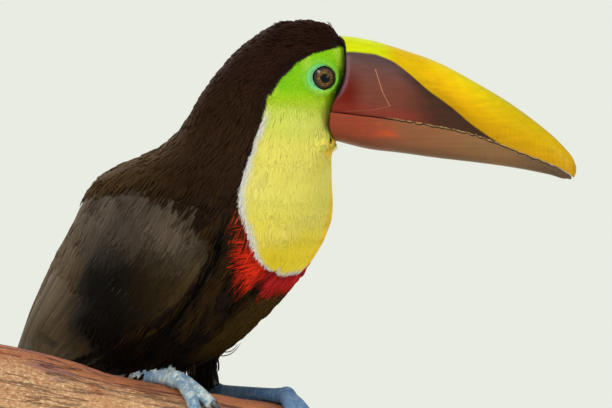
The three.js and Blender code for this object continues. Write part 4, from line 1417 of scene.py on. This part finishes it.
def tail_vanes(sign, seed):
    """Ten feathers on the tail's upper side (sign 1) or underside (sign -1)."""
    rng = np.random.default_rng(seed)
    vanes, tones = [], []
    middle_one = (TAIL_FEATHERS - 1) / 2
    order = sorted(range(TAIL_FEATHERS), key=lambda i: -abs(i - middle_one))
    down = np.array([-math.cos(TAIL_PITCH), -math.sin(TAIL_PITCH)])
    over = np.array([-math.sin(TAIL_PITCH), math.cos(TAIL_PITCH)]) * sign
    for layer, i in enumerate(order):
        share = (i - middle_one) / middle_one
        reach = 0.985 - 0.05 * abs(share) ** 2 + rng.normal(0, 0.004)
        along = (0.04 + (reach - 0.045) * station_shares) * TAIL_LENGTH_MM
        spread = TAIL_ROOT_HALF_MM + (TAIL_TIP_HALF_MM - TAIL_ROOT_HALF_MM) * station_shares
        middle = np.array(TAIL_ROOT) + along[:, None] * down + over * 40
        starts = in_metres(share * spread, middle[:, 0], middle[:, 1])
        direction = np.array([0, over[0], -over[1]])
        path, out = cast(starts, np.tile(direction, (VANE_STATIONS, 1)))
        run_on = np.arange(1, VANE_STATIONS - ON_SKIN)[:, None]
        path[ON_SKIN + 1 :] = path[ON_SKIN] + (path[ON_SKIN] - path[ON_SKIN - 2]) / 2 * run_on
        out[ON_SKIN + 1 :] = out[ON_SKIN]
        lift = 0.2 + 0.12 * layer
        points = vane(path, out, TAIL_WIDTH_MM, 0.14, 0.0, (lift, lift))
        vanes.append(points)
        tones.append(np.tile(linear("#191210") * rng.uniform(0.85, 1.15), (len(points), 1)))
    return vanes, tones


join_vanes("tail_vanes_upper", *tail_vanes(1, 41), 2, vaned)
join_vanes("tail_vanes_under", *tail_vanes(-1, 42), 3, vaned)

# %% [markdown]
# ## The bill
# A toucan's bill is a thin horn sheath over a foam of bone: two long shells that meet along
# a slightly toothed edge. Each half is built as rings across its length. A ring starts on
# the gape line, runs round the horn and closes across the inside. The first ring follows
# the face, where the horn ends in a low thick rim.

# %% Sections of the bill, ahead of the neck's pivot, in millimetres
BILL_SECTIONS = (
    (30, 441, 380.5, 21.8), (40, 441, 377.5, 21.8), (55, 439, 373.8, 20.2), (76, 433, 371.2, 17.6),
    (98.5, 425, 368.2, 15), (120, 413.6, 365.8, 12.8), (142.5, 400, 362.8, 10.4),
    (157, 389.4, 360.2, 8.6), (168, 380.2, 357.6, 6.8), (174.5, 373.4, 355, 4.8),
    (178.5, 368, 355.6, 2.6), (180.3, 363.6, 360.2, 0.5),
)
GAPE_LINE = (
    (28, 397.5), (40, 396), (69, 392.4), (93.5, 388.2), (110, 385), (122, 381.8), (136, 376.6),
    (150, 371), (162, 366.3), (172, 361.8), (178, 357.8), (181, 355),
)
BILL_FULLNESS = 2.3
LOWER_TIP_MM, UPPER_TIP_MM = 177.5, 180.3


def section_part(ahead, column):
    return smooth_line(ahead, [(row[0], row[column]) for row in BILL_SECTIONS])


def teeth(ahead):
    """Small uneven notches along the cutting edge."""
    wave = np.sin(ahead * 1.05 + 1.4 * np.sin(ahead * 0.31)) * (0.6 + 0.4 * np.sin(ahead * 0.17))
    return 0.42 * np.clip(wave, -0.6, 1) * ramp(ahead, 70, 84)


print("teeth up to", teeth(np.linspace(70, 180, 200)).max().round(2), "mm")

# %% Rings of one half of the bill
def bill_half(upper, rings=150, sides=72, inner=10):
    """Rings of points for one half, each from the gape round the horn and back inside."""
    tip = UPPER_TIP_MM if upper else LOWER_TIP_MM
    along = 1 - (1 - np.linspace(0, 1, rings)) ** 1.25
    start = np.full((rings, sides), 40.0)
    angle_share = np.linspace(0, 1, sides)[None, :]
    for _ in range(12):
        ahead = start + (tip - start) * along[:, None]
        top, bottom, half = (section_part(ahead, column) for column in (1, 2, 3))
        bottom = bottom + (0 if upper else 1.6) * ramp(ahead, 168, LOWER_TIP_MM)
        gape = smooth_line(ahead, GAPE_LINE) + (teeth(ahead) if upper else teeth(ahead) - 0.7)
        middle, tall = (top + bottom) / 2, np.maximum((top - bottom) / 2, 0.05)
        edge_rise = np.clip((gape - middle) / tall, -0.995, 0.995)
        edge_angle = np.arcsin(np.sign(edge_rise) * np.abs(edge_rise) ** (BILL_FULLNESS / 2))
        if upper:
            angle = edge_angle + (math.pi - 2 * edge_angle) * angle_share
        else:
            angle = edge_angle - (math.pi + 2 * edge_angle) * angle_share
        cosine, sine = np.cos(angle), np.sin(angle)
        height = middle + tall * np.sign(sine) * np.abs(sine) ** (2 / BILL_FULLNESS)
        left = half * np.sign(cosine) * np.abs(cosine) ** (2 / BILL_FULLNESS)
        start = start * 0.5 + along_line(height, FACE_EDGE) * 0.5
    rim = bell(ahead - start, 0, 2.2) * 0.5
    overlap = (0.35 if upper else -0.15) * ramp(ahead, 50, 70)
    left = left + np.sign(left) * (rim + overlap * (1 - ramp(np.abs(height - gape), 2, 9)))
    outside = placed(ahead, left, height, HEAD_TURN)
    shares = np.linspace(1, 0, inner + 2)[1:-1]
    first, last = outside[:, :1], outside[:, -1:]
    inside = last + (first - last) * (1 - shares)[None, :, None]
    return np.concatenate([outside, inside], 1)


upper_rings, lower_rings = bill_half(True), bill_half(False)
print("rings, and points on each:", upper_rings.shape[:2])

# %% Close the rings, and make both halves
def closed_tube(name, rings):
    count, sides = rings.shape[:2]
    points = rings.reshape(-1, 3)
    ring, side = np.meshgrid(np.arange(count - 1), np.arange(sides), indexing="ij")
    following = (side + 1) % sides
    quads = np.stack(
        [ring * sides + side, ring * sides + following,
         (ring + 1) * sides + following, (ring + 1) * sides + side], -1
    ).reshape(-1, 4)
    triangles = np.concatenate([quads[:, [0, 1, 2]], quads[:, [0, 2, 3]]])
    caps = []
    for row in (0, count - 1):
        centre = len(points)
        points = np.concatenate([points, rings[row].mean(0)[None]])
        index = row * sides + np.arange(sides)
        caps.append(np.stack([np.full(sides, centre), index, np.roll(index, -1)], 1))
    piece = new_object(name, points, np.concatenate([triangles, *caps]))
    face_out(piece.data, weld_distance=2e-6)
    return piece


bill_upper = closed_tube("bill_upper_horn", upper_rings)
bill_lower = closed_tube("bill_lower_horn", lower_rings)
print("bill:", len(bill_upper.data.polygons), "+", len(bill_lower.data.polygons), "triangles")

# %% Loose barbs that stand off the belly, and fluff over the near foot
WISPS = {
    "belly_wisp_long": (
        0.34, ((-6, 19, 246.5), (-1, 19, 245), (4, 20, 246.2), (8.5, 20, 249.4), (12, 20, 253.5)),
    ),
    "belly_wisp_short": (0.34, ((-3, 19, 247.5), (3, 20, 247.6), (7, 20, 249.6), (10, 20, 252.8))),
}
FLUFFS, FLUFF_STEP_MM = 6, 2.1
for number in range(FLUFFS):
    ahead, down = -9.5 - FLUFF_STEP_MM * number, 234.5 - 0.4 * number
    WISPS[f"belly_fluff_{number + 1}"] = (
        1.5, ((ahead + 2, -4, 247), (ahead + 1, -2, 241), (ahead, 0, down)),
    )
for name, (thickness, line) in WISPS.items():
    share, keys = np.linspace(0, 1, 16), np.linspace(0, 1, len(line))
    path = np.stack([smooth_line(share, list(zip(keys, places))) for places in zip(*line)], 1)
    across = unit(np.cross(np.gradient(path, axis=0), [0, 1, 0]))
    thick = thickness * np.sqrt(np.clip(1 - share**2, 0.02, 1))
    spin = np.linspace(0, 2 * math.pi, 6, endpoint=False)[None, :, None]
    ring = np.cos(spin) * across[:, None] + np.sin(spin) * np.array([0, 1, 0])
    ahead, left, up = np.moveaxis(path[:, None] + thick[:, None, None] * ring, -1, 0)
    piece = closed_tube(name, in_metres(left, ahead, up))
    points, _ = mesh_arrays(piece.data)
    set_side_map(piece.data, points, 1)
    set_colour(piece.data, "tone", all_over("#33240E", points))
    set_attribute(piece.data, "along", "FLOAT", np.full(len(points), 0.7))
    piece.data.materials.append(soft_plumage)
    piece.data.shade_smooth()
    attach(piece, "root")
print("loose barbs:", len(WISPS))

# %% [markdown]
# ### Horn of the bill
# Keratin horn, grown in layers and worn smooth: IOR 1.55, a satin gloss near 0.3, fine
# growth lines along it and a few scratches. The upper half is yellow over a chestnut
# triangle, the lower half chestnut, orange-red near the gape and taupe towards the tip.
# The colours are zones over the side of the bill, so a Mapping node turns the pattern with
# the head, and curves give each zone's edge.

# %% Where on the bill: ahead, left and height in millimetres as shader values
horn, add, shader = new_material("satin_keratin_horn")
HEAD_SPIN = math.atan2(-math.cos(HEAD_TURN), math.sin(HEAD_TURN))
turned = add("Mapping", {
    "Vector": add("TexCoord").outputs["Object"], "Location": tuple(placed(0, 0, 0, HEAD_TURN)),
    "Rotation": (0, 0, HEAD_SPIN), "Scale": (MM, MM, MM),
}, vector_type="TEXTURE")
ahead_in, left_in, height_in = add("SeparateXYZ", (turned,)).outputs
streaks = add("Mapping", {"Vector": turned, "Scale": (0.03, 0.5, 0.5)}, vector_type="POINT")
grown = add("TexNoise", {"Vector": streaks, "Scale": 1.0, "Detail": 5.0})
cloud = add("TexNoise", {"Vector": turned, "Scale": 0.09, "Detail": 3.0})


def drawn_line(value, low, high, line, bottom, top):
    """Reads a line given by points: a value from low to high gives one from bottom to top."""
    curve = add("FloatCurve", {"Value": add("MapRange", (value, low, high))})
    points = curve.mapping.curves[0].points
    scaled = [((x - low) / (high - low), (y - bottom) / (top - bottom)) for x, y in line]
    points[0].location, points[1].location = scaled[0], scaled[-1]
    for spot in scaled[1:-1]:
        points.new(*spot)
    curve.mapping.update()
    return add("MapRange", (curve, 0, 1, bottom, top))


CHESTNUT_EDGE = (
    (40, 431.5), (54, 431.3), (62, 430), (69, 427.4), (79, 421.2), (87.5, 414), (96, 407),
    (109, 397.3), (116, 391.4), (122, 386.6), (129, 381.8), (135, 377.8), (140, 374.4), (181, 350),
)
gape_in = drawn_line(ahead_in, 28, 181, GAPE_LINE, 350, 400)
edge_in = drawn_line(ahead_in, 40, 181, CHESTNUT_EDGE, 340, 440)
face_in = drawn_line(height_in, 370, 452, ((370, 38), *FACE_EDGE), 30, 50)
over_gape = add("Math", (height_in, gape_in), operation="SUBTRACT")
off_face = add("Math", (ahead_in, face_in), operation="SUBTRACT")
over_edge = add("Math", (height_in, edge_in), operation="SUBTRACT")
wobble = add("MapRange", (cloud, 0, 1, -0.7, 0.7))
over_edge = add("Math", (over_edge, wobble), operation="ADD")

# %% Zones of colour on the upper half
def zone(*edges, strength=1.0):
    """Full strength past every edge, which fades in from its first number to its second."""
    share = strength
    for value, start, end in edges:
        edge = add("MapRange", (value, start, end), interpolation_type="SMOOTHSTEP")
        share = add("Math", (share, edge), operation="MULTIPLY")
    return share


def tinted(base, *layers):
    """Lays colours over a base, one after another, each by its own share."""
    for share, colour in layers:
        base = add("Mix", (share, base, colour), data_type="RGBA")
    return base


ridges = add(
    "TexWave", {"Vector": turned, "Scale": 0.11, "Distortion": 3.0, "Detail": 2.0},
    wave_type="BANDS", bands_direction="X",
)
low_band = zone((over_gape, 15, 3), (ahead_in, 112, 128), strength=0.75)
ridge_share = add("Math", (ridges.outputs["Fac"], low_band), operation="MULTIPLY")
yellow = tinted(
    "#B08600",
    (zone((over_edge, 1, 10)), "#D2A400"),
    (zone((over_edge, 8, 20)), "#DCC006"),
    (zone((over_edge, 17, 30)), "#D2D40A"),
    (zone((ahead_in, 108, 78), strength=0.7), "#CEB000"),
    (zone((ahead_in, 100, 150), strength=0.6), "#AC8600"),
    (zone((ahead_in, 76, 62), strength=0.85), "#BFD604"),
    (ridge_share, "#B98A08"),
)
edge_tone = tinted("#4A3A3E", (zone((ahead_in, 66, 90)), "#36241C"))
upper_tone = tinted(
    "#5E170B",
    (zone((ahead_in, 46, 58)), "#6A3A30"),
    (zone((over_gape, 14, 34)), "#5C4240"),
    (zone((ahead_in, 72, 100)), "#3E261C"),
    (zone((over_edge, -9, -1), strength=0.75), edge_tone),
    (zone((over_gape, 11, 1), (ahead_in, 104, 76), strength=0.6), "#7E2A20"),
    (zone((over_edge, -0.7, 0.7)), yellow),
)

# %% Zones of colour on the lower half, and the worn cutting edge
glow = zone((ahead_in, 50, 60), (ahead_in, 82, 70), (over_gape, -13, -9), (over_gape, -1.5, -5))
lower_tone = tinted(
    "#8C3E2A",
    (zone((ahead_in, 52, 84)), "#83543A"),
    (zone((ahead_in, 84, 130)), "#7E5E40"),
    (zone((ahead_in, 130, 168)), "#5E4C3A"),
    (zone((over_gape, -10, -19), strength=0.6), "#5E4A3C"),
    (add("Math", (glow, zone((cloud, 0.3, 0.6), strength=0.8)), operation="MULTIPLY"), "#BE4A28"),
)
chipped = add("TexNoise", {"Vector": turned, "Scale": 0.8, "Detail": 3.0})
line_width = add("MapRange", (chipped, 0.35, 0.65, 0.15, 1.0))
off_gape = add("Math", (over_gape,), operation="ABSOLUTE")
on_line = add("Math", (off_gape, line_width), operation="LESS_THAN")

# %% A pale scratch of four strokes on the right side, and the material of the horn
beside = add("CombineXYZ", (ahead_in, height_in))


def stroke(start, end, width_mm):
    """1 where a place on the side of the bill is within half the width of a straight stroke."""
    across = Vector((*end, 0)) - Vector((*start, 0))
    reach = add("VectorMath", (beside, (*start, 0)), operation="SUBTRACT")
    run = add("VectorMath", (reach, across / across.length_squared), operation="DOT_PRODUCT")
    share = add("Clamp", (run.outputs["Value"],))
    nearest = add("VectorMath", (across, share), operation="MULTIPLY")
    gap = add("VectorMath", (reach, nearest), operation="DISTANCE").outputs["Value"]
    return zone((gap, width_mm * 0.7, width_mm * 0.3))


SCRATCH = ((62, 421.4), (66.4, 408), (70.7, 399.6), (60, 397.2), (44.6, 396.4))
SCRATCH_STRENGTHS = (0.6, 0.45, 0.1875, 0.15)
scratched = 0.0
for start, end, strength in zip(SCRATCH, SCRATCH[1:], SCRATCH_STRENGTHS):
    mark = add("Math", (stroke(start, end, 0.5), strength), operation="MULTIPLY")
    scratched = add("Math", (scratched, mark), operation="MAXIMUM")
on_right = add("Math", (left_in, 0), operation="LESS_THAN")
horn_tone = tinted(
    lower_tone,
    (zone((over_gape, -0.4, 0.1)), upper_tone),
    (zone((ahead_in, 66, 76), strength=on_line), "#A8895E"),
    (add("Math", (scratched, on_right), operation="MULTIPLY"), "#C08A66"),
    (zone((off_face, 3.6, 1.6), (over_edge, -1, -3), (over_gape, 4, 16), strength=0.5), "#7E5866"),
    (zone((off_face, 0.9, 0.3)), "#15100E"),
)
tone_noise = add("MapRange", (grown, 0.25, 0.75, 0.86, 1.1))
grown_relief = add("Math", (grown, 0.6), operation="MULTIPLY")
ridge_relief = add("Math", (ridge_share, 1.2), operation="MULTIPLY")
relief = add("Math", (grown_relief, ridge_relief), operation="ADD")
fill(shader, {
    "Base Color": add("VectorMath", (horn_tone, tone_noise), operation="MULTIPLY"),
    "Roughness": add("MapRange", (grown, 0.2, 0.8, 0.26, 0.42)),
    "Normal": add("Bump", {"Strength": 0.3, "Distance": 0.0005, "Height": relief}),
    "IOR": 1.55, "Specular IOR Level": 0.09,
})

for piece, solid in ((bill_upper, "bill_upper"), (bill_lower, "bill_lower")):
    piece.data.materials.append(horn)
    piece.data.shade_smooth()
    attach(piece, "root")
    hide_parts(solid)
print("bill finished")

# %% [markdown]
# ## Eyes
# The eye is a wet ball: a golden-brown iris with a dark rim, a black pupil and a clear
# cornea over both. A ball of smooth rings round its own axis replaces the coarse one. The
# iris is drawn by how far each point lies from the axis, which is kept as an attribute.

# %% Material of the wet eye
eye_look, add, shader = new_material("wet_eye")
axis_in = add("Attribute", attribute_name="from_axis").outputs["Fac"]
place_in = add("TexCoord").outputs["Object"]
flecks = add("TexNoise", {"Vector": place_in, "Scale": 1300.0, "Detail": 4.0})
iris = tinted(
    "#2A1C0C",
    (zone((flecks, 0.42, 0.62)), "#80662E"),
    (zone((axis_in, 4.4, 5.4)), "#32262A"),
    (zone((axis_in, 6.1, 6.6)), "#120B0A"),
)
fill(shader, {
    "Base Color": tinted("#050404", (zone((axis_in, 2.7, 3)), iris)), "Roughness": 0.05,
    "IOR": 1.38, "Specular IOR Level": 0.22,
})
print("eye material of", len(eye_look.node_tree.nodes), "nodes")

# %% Two balls with irises
EYE_RINGS, EYE_SIDES, CORNEA_RISE_MM = 40, 56, 0.5
for side, name in ((1, "left"), (-1, "right")):
    spot = placed(EYE_AHEAD_MM, side * EYE_OUT_MM, EYE_HEIGHT_MM, HEAD_TURN)
    beside = np.array([math.cos(HEAD_TURN), math.sin(HEAD_TURN), 0]) * side
    forward = np.array([math.sin(HEAD_TURN), -math.cos(HEAD_TURN), 0])
    gaze = unit((beside * 0.95 + forward * 0.34 + np.array([0, 0, -0.07]))[None])[0]
    across = unit(np.cross(gaze, [0, 0, 1])[None])[0]
    up = np.cross(across, gaze)
    polar = np.linspace(0.02, math.pi - 0.02, EYE_RINGS)[:, None]
    around = np.linspace(0, 2 * math.pi, EYE_SIDES, endpoint=False)[None]
    radius = EYE_RADIUS_MM - 0.1 + CORNEA_RISE_MM * bell(polar, 0, 0.4)
    ball = (
        gaze * (np.cos(polar) * radius)[..., None] * np.ones((1, EYE_SIDES, 1))
        + across * (np.sin(polar) * radius * np.cos(around))[..., None]
        + up * (np.sin(polar) * radius * np.sin(around))[..., None]
    )
    piece = closed_tube("eye_ball_" + name, spot + ball * MM)
    points, _ = mesh_arrays(piece.data)
    reach = (points - spot) / MM
    along_gaze = reach @ gaze
    off_axis = np.linalg.norm(reach - along_gaze[:, None] * gaze, axis=1)
    set_attribute(piece.data, "from_axis", "FLOAT", np.where(along_gaze > 0, off_axis, 9.0))
    piece.data.materials.append(eye_look)
    piece.data.shade_smooth()
    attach(piece, "root")
    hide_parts("eye_" + name)
print("eyes set")

# %% [markdown]
# ## Claws
# Claws are dark horn over bone, curved to a point. The CAD claws have the right size and
# curve with few facets, so each is copied, merged and smoothed by one subdivision.

# %% Eight claws
claw_look, add, shader = new_material("dark_claw_horn")
place_in = add("TexCoord").outputs["Object"]
grown = add("TexNoise", {"Vector": place_in, "Scale": 700.0, "Detail": 4.0})
rough = add("MapRange", (grown, 0.2, 0.8, 0.3, 0.5))
fill(shader, {
    "Base Color": tinted("#1D1D22", (zone((grown, 0.35, 0.75)), "#4A4A52")),
    "Roughness": rough, "IOR": 1.55,
})
claws = [name for name in nodes if name.startswith("claw")]
for name in claws:
    points, corners = welded(*mesh_arrays(nodes[name].data))
    rough_claw = new_object(name + "_rough", points, corners)
    rounder = rough_claw.modifiers.new("round", "SUBSURF")
    rounder.levels = rounder.render_levels = 2
    mesh = evaluated_mesh(rough_claw)
    bpy.data.objects.remove(rough_claw)
    points, corners = mesh_arrays(mesh)
    piece = new_object(name + "_horn", points, corners)
    face_out(piece.data)
    piece.data.materials.append(claw_look)
    piece.data.shade_smooth()
    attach(piece, "root")
    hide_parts(name)
print(len(claws), "claws")

# %% [markdown]
# ## The perch
# The bird grips a thick weathered branch whose bark has gone, so that long fibres, cracks and
# worn hollows run along it. It is a tube of rings with the long cracks pressed into the mesh,
# and sawn ends. Near the far foot it keeps to the CAD size, and it dips under the near one,
# so that both rest on it.

# %% A branch with long cracks
PERCH_FROM_MM, PERCH_TO_MM, PERCH_RINGS, PERCH_SIDES = -128, 116, 220, 200
along = np.linspace(PERCH_FROM_MM, PERCH_TO_MM, PERCH_RINGS)[:, None]
angle = np.linspace(0, 2 * math.pi, PERCH_SIDES, endpoint=False)[None]
swell = 1.3 * np.sin(along / 17 + 2 * angle) * np.sin(3 * angle + 0.6)
swell = swell + 3.2 * np.clip((-45 - along) / 60, 0, 1) * np.exp(-np.angle(np.exp(1j * angle)) ** 2)
rng = np.random.default_rng(5)
cracks = np.zeros_like(swell)
for _ in range(46):
    count, phase, drift = rng.integers(3, 40), rng.uniform(0, 6.3), rng.uniform(-0.012, 0.012)
    size = rng.uniform(0.25, 1.0) / math.sqrt(count)
    bend = 0.9 * np.sin(along / rng.uniform(14, 45) + phase)
    wave = np.sin(count * angle + phase + drift * count * along + bend)
    cracks += -size * np.abs(wave) ** 0.6 * (0.6 + 0.4 * np.sin(along / rng.uniform(9, 40)))
cracks = cracks - cracks.max()
deep = np.clip(cracks * 0.55, -2.2, 0)
from_middle = np.abs(along - (PERCH_FROM_MM + PERCH_TO_MM) / 2)
rounding = 1.6 * (1 - np.sqrt(1 - np.clip((from_middle - 120.5) / 1.5, 0, 1) ** 2))
off_crest = np.angle(np.exp(1j * angle))
crest_zone = np.exp(-((off_crest / 0.9) ** 4))
near_grip = np.exp(-(((along + 4) / 24) ** 4)) * crest_zone
far_grip = np.exp(-(((along - FEET_APART_MM) / 24) ** 4)) * crest_zone
hollow = -2.4 * near_grip + 0.5 * far_grip - 2.2 * bell(along, -38, 16) * crest_zone
lift = (swell + deep) * (1 - 0.8 * near_grip - 0.8 * far_grip) + hollow - rounding
rings = perch_place(along, angle, lift)
CAP_SHARES = (0.98, 0.8, 0.6, 0.4, 0.2, 0.08)
lead = [rings[0].mean(0) + (rings[0] - rings[0].mean(0)) * share for share in CAP_SHARES[::-1]]
tail = [rings[-1].mean(0) + (rings[-1] - rings[-1].mean(0)) * share for share in CAP_SHARES]
branch = closed_tube("perch_branch", np.stack([*lead, *rings, *tail]))
points, _ = mesh_arrays(branch.data)
core = perch_place(0.0, 0.0, -PERCH_RADIUS_MM)
axis_way = perch_place(1.0, 0.0, 0.0) - perch_place(0.0, 0.0, 0.0)
from_core = points - core
run = from_core @ axis_way / (axis_way @ axis_way)
out = from_core - run[:, None] * axis_way
from_end = np.minimum(run - PERCH_FROM_MM, PERCH_TO_MM - run)
reach = np.linalg.norm(out, axis=1)
sawn = (from_end < 1.2) | (from_end < 6) & (reach < 0.92 * PERCH_RADIUS_MM * MM)
set_attribute(branch.data, "crest", "FLOAT", out[:, 2] / reach)
set_attribute(branch.data, "from_core", "FLOAT", reach / MM)
set_attribute(branch.data, "sawn", "FLOAT", sawn.astype(float))
print("branch:", len(branch.data.polygons), "triangles")

# %% Material of the weathered branch
wood, add, shader = new_material("weathered_barkless_wood")
place_in = add("TexCoord").outputs["Object"]
yaw = math.atan2(axis_way[1], axis_way[0])
pitch = -math.atan2(axis_way[2], math.hypot(axis_way[0], axis_way[1]))
laid_along = add("Mapping", {
    "Vector": place_in, "Location": tuple(core), "Rotation": (0, pitch, yaw),
}, vector_type="TEXTURE")
fibre_space = add("Mapping", {"Vector": laid_along, "Scale": (0.06, 1, 1)})
fibres = add("TexNoise", {"Vector": fibre_space, "Scale": 420.0, "Detail": 9.0, "Roughness": 0.7})
bands = add("TexNoise", {"Vector": fibre_space, "Scale": 110.0, "Detail": 5.0, "Roughness": 0.6})
worn = add("TexNoise", {"Vector": laid_along, "Scale": 55.0, "Detail": 5.0})
straw_space = add("Mapping", {"Vector": laid_along, "Scale": (0.5, 1, 1)})
straw = add("TexNoise", {"Vector": straw_space, "Scale": 820.0, "Detail": 6.0, "Roughness": 0.75})
streak_space = add("Mapping", {"Vector": laid_along, "Scale": (0.16, 1, 1)})
streak = add("TexNoise", {"Vector": streak_space, "Scale": 90.0, "Detail": 4.0})
crest_in = add("Attribute", attribute_name="crest").outputs["Fac"]
on_crest = zone((crest_in, 0.66, 0.92))

straw_fade = add("MapRange", (on_crest, 0, 1, 1, 0.25))
strawy = zone((worn, 0.28, 0.44), strength=straw_fade)
straw_strength = add("MapRange", (strawy, 0, 1, 0.25, 0.95))
from_crack = add("Math", (bands, 0.47), operation="SUBTRACT")
from_crack = add("Math", (from_crack,), operation="ABSOLUTE")
crack = zone((from_crack, 0.022, 0.002))
crack_strength = add("MapRange", (on_crest, 0, 1, 0.5, 1))
crest_tone = tinted("#86381C", (zone((fibres, 0.42, 0.6)), "#B05A2C"))
wood_tone = tinted(
    "#9C4C26",
    (zone((bands, 0.38, 0.6)), "#C68C5C"),
    (add("Math", (strawy, 0.6), operation="MULTIPLY"), "#C9A27A"),
    (zone((straw, 0.5, 0.62), strength=straw_strength), "#E8CFA4"),
    (zone((straw, 0.46, 0.33), strength=0.75), "#5E3420"),
    (zone((streak, 0.56, 0.64), strength=0.7), "#8C6A70"),
    (zone((bands, 0.3, 0.6), (crest_in, 0.66, 0.92), strength=0.75), crest_tone),
    (add("Math", (crack, crack_strength), operation="MULTIPLY"), "#5A2010"),
    (zone((fibres, 0.42, 0.3)), "#4E2416"),
)

# The sawn ends show year rings round the core.
core_in = add("Attribute", attribute_name="from_core").outputs["Fac"]
sawn_in = add("Attribute", attribute_name="sawn").outputs["Fac"]
year = add("Math", (worn, 2, core_in), operation="MULTIPLY_ADD")
year = add("Math", (year, 1.3), operation="MULTIPLY")
for step in ("SINE", "ABSOLUTE", "SQRT"):
    year = add("Math", (year,), operation=step)
wood_tone = tinted(wood_tone, (sawn_in, tinted("#7A5034", (year, "#C69C6C"))))
rugged = add("Math", (straw, 0.6, fibres), operation="MULTIPLY_ADD")
rugged = add("Math", (crack, -0.8, rugged), operation="MULTIPLY_ADD")
bump = add("Bump", {"Strength": 1.0, "Distance": 0.0018, "Height": rugged})
rough = add("MapRange", (fibres, 0.2, 0.8, 0.55, 0.85))
fill(shader, {"Base Color": wood_tone, "Normal": bump, "Roughness": rough, "IOR": 1.5})
branch.data.materials.append(wood)
branch.data.shade_smooth()
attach(branch, "root")
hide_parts("perch")

# %% [markdown]
# ## The display stand
# A turned and painted wooden disc carries two brushed steel rods. Both are made again with
# round edges where the CAD has facets.

# %% Paint and steel
paint, add, shader = new_material("satin_painted_wood")
place_in = add("TexCoord").outputs["Object"]
brushed = add("TexNoise", {"Vector": place_in, "Scale": 260.0, "Detail": 3.0})
rough = add("MapRange", (brushed, 0.3, 0.7, 0.42, 0.55))
bump = add("Bump", {"Strength": 0.15, "Distance": 0.0003, "Height": brushed})
fill(shader, {
    "Base Color": tinted("#333335", (brushed, "#3D3D40")), "Roughness": rough,
    "Normal": bump,
})

steel, add, shader = new_material("brushed_stainless_steel")
brush_space = add("Mapping", {"Vector": add("TexCoord").outputs["Object"], "Scale": (1, 1, 0.02)})
brushed = add("TexNoise", {"Vector": brush_space, "Scale": 4000.0, "Detail": 2.0})
rough = add("MapRange", (brushed, 0.3, 0.7, 0.26, 0.38))
fill(shader, {
    "Base Color": tinted("#A9ABAE", (brushed, "#C4C6C8")), "Metallic": 1.0,
    "Roughness": rough,
})
print("paint and steel ready")

# %% Base and rods
def turned_piece(name, axis, profile, sides, look, solid):
    """A lathe round an upright axis through (x, y), from a profile of radius and height."""
    spin = np.linspace(0, 2 * math.pi, sides, endpoint=False)
    rings = [
        np.stack([axis[0] + r * np.cos(spin), axis[1] + r * np.sin(spin), np.full(sides, z)], 1)
        for r, z in profile
    ]
    piece = closed_tube(name, np.stack(rings))
    piece.data.materials.append(look)
    piece.data.shade_smooth()
    piece.data.set_sharp_from_angle(angle=math.radians(35))
    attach(piece, "root")
    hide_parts(solid)


low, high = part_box("stand_base")
radius, thick, edge = (high.x - low.x) / 2, high.z - low.z, 0.002
corner = [
    (radius - edge + edge * math.sin(a), edge - edge * math.cos(a))
    for a in np.linspace(0, math.pi / 2, 6)
]
profile = [
    (radius * 0.5, 0), *corner, *[(r, thick - z) for r, z in corner[::-1]], (radius * 0.5, thick),
]
turned_piece("stand_disc", (0, 0), profile, 160, paint, "stand_base")
for number in (1, 2):
    solid = f"stand_rod_{number}"
    low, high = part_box(solid)
    radius, middle = (high.x - low.x) / 2, (low + high) / 2
    profile = [
        (radius * share, z) for z, share in ((low.z, 0.5), (low.z, 1), (high.z, 1), (high.z, 0.5))
    ]
    turned_piece(f"stand_steel_rod_{number}", middle, profile, 40, steel, solid)
print("stand made")
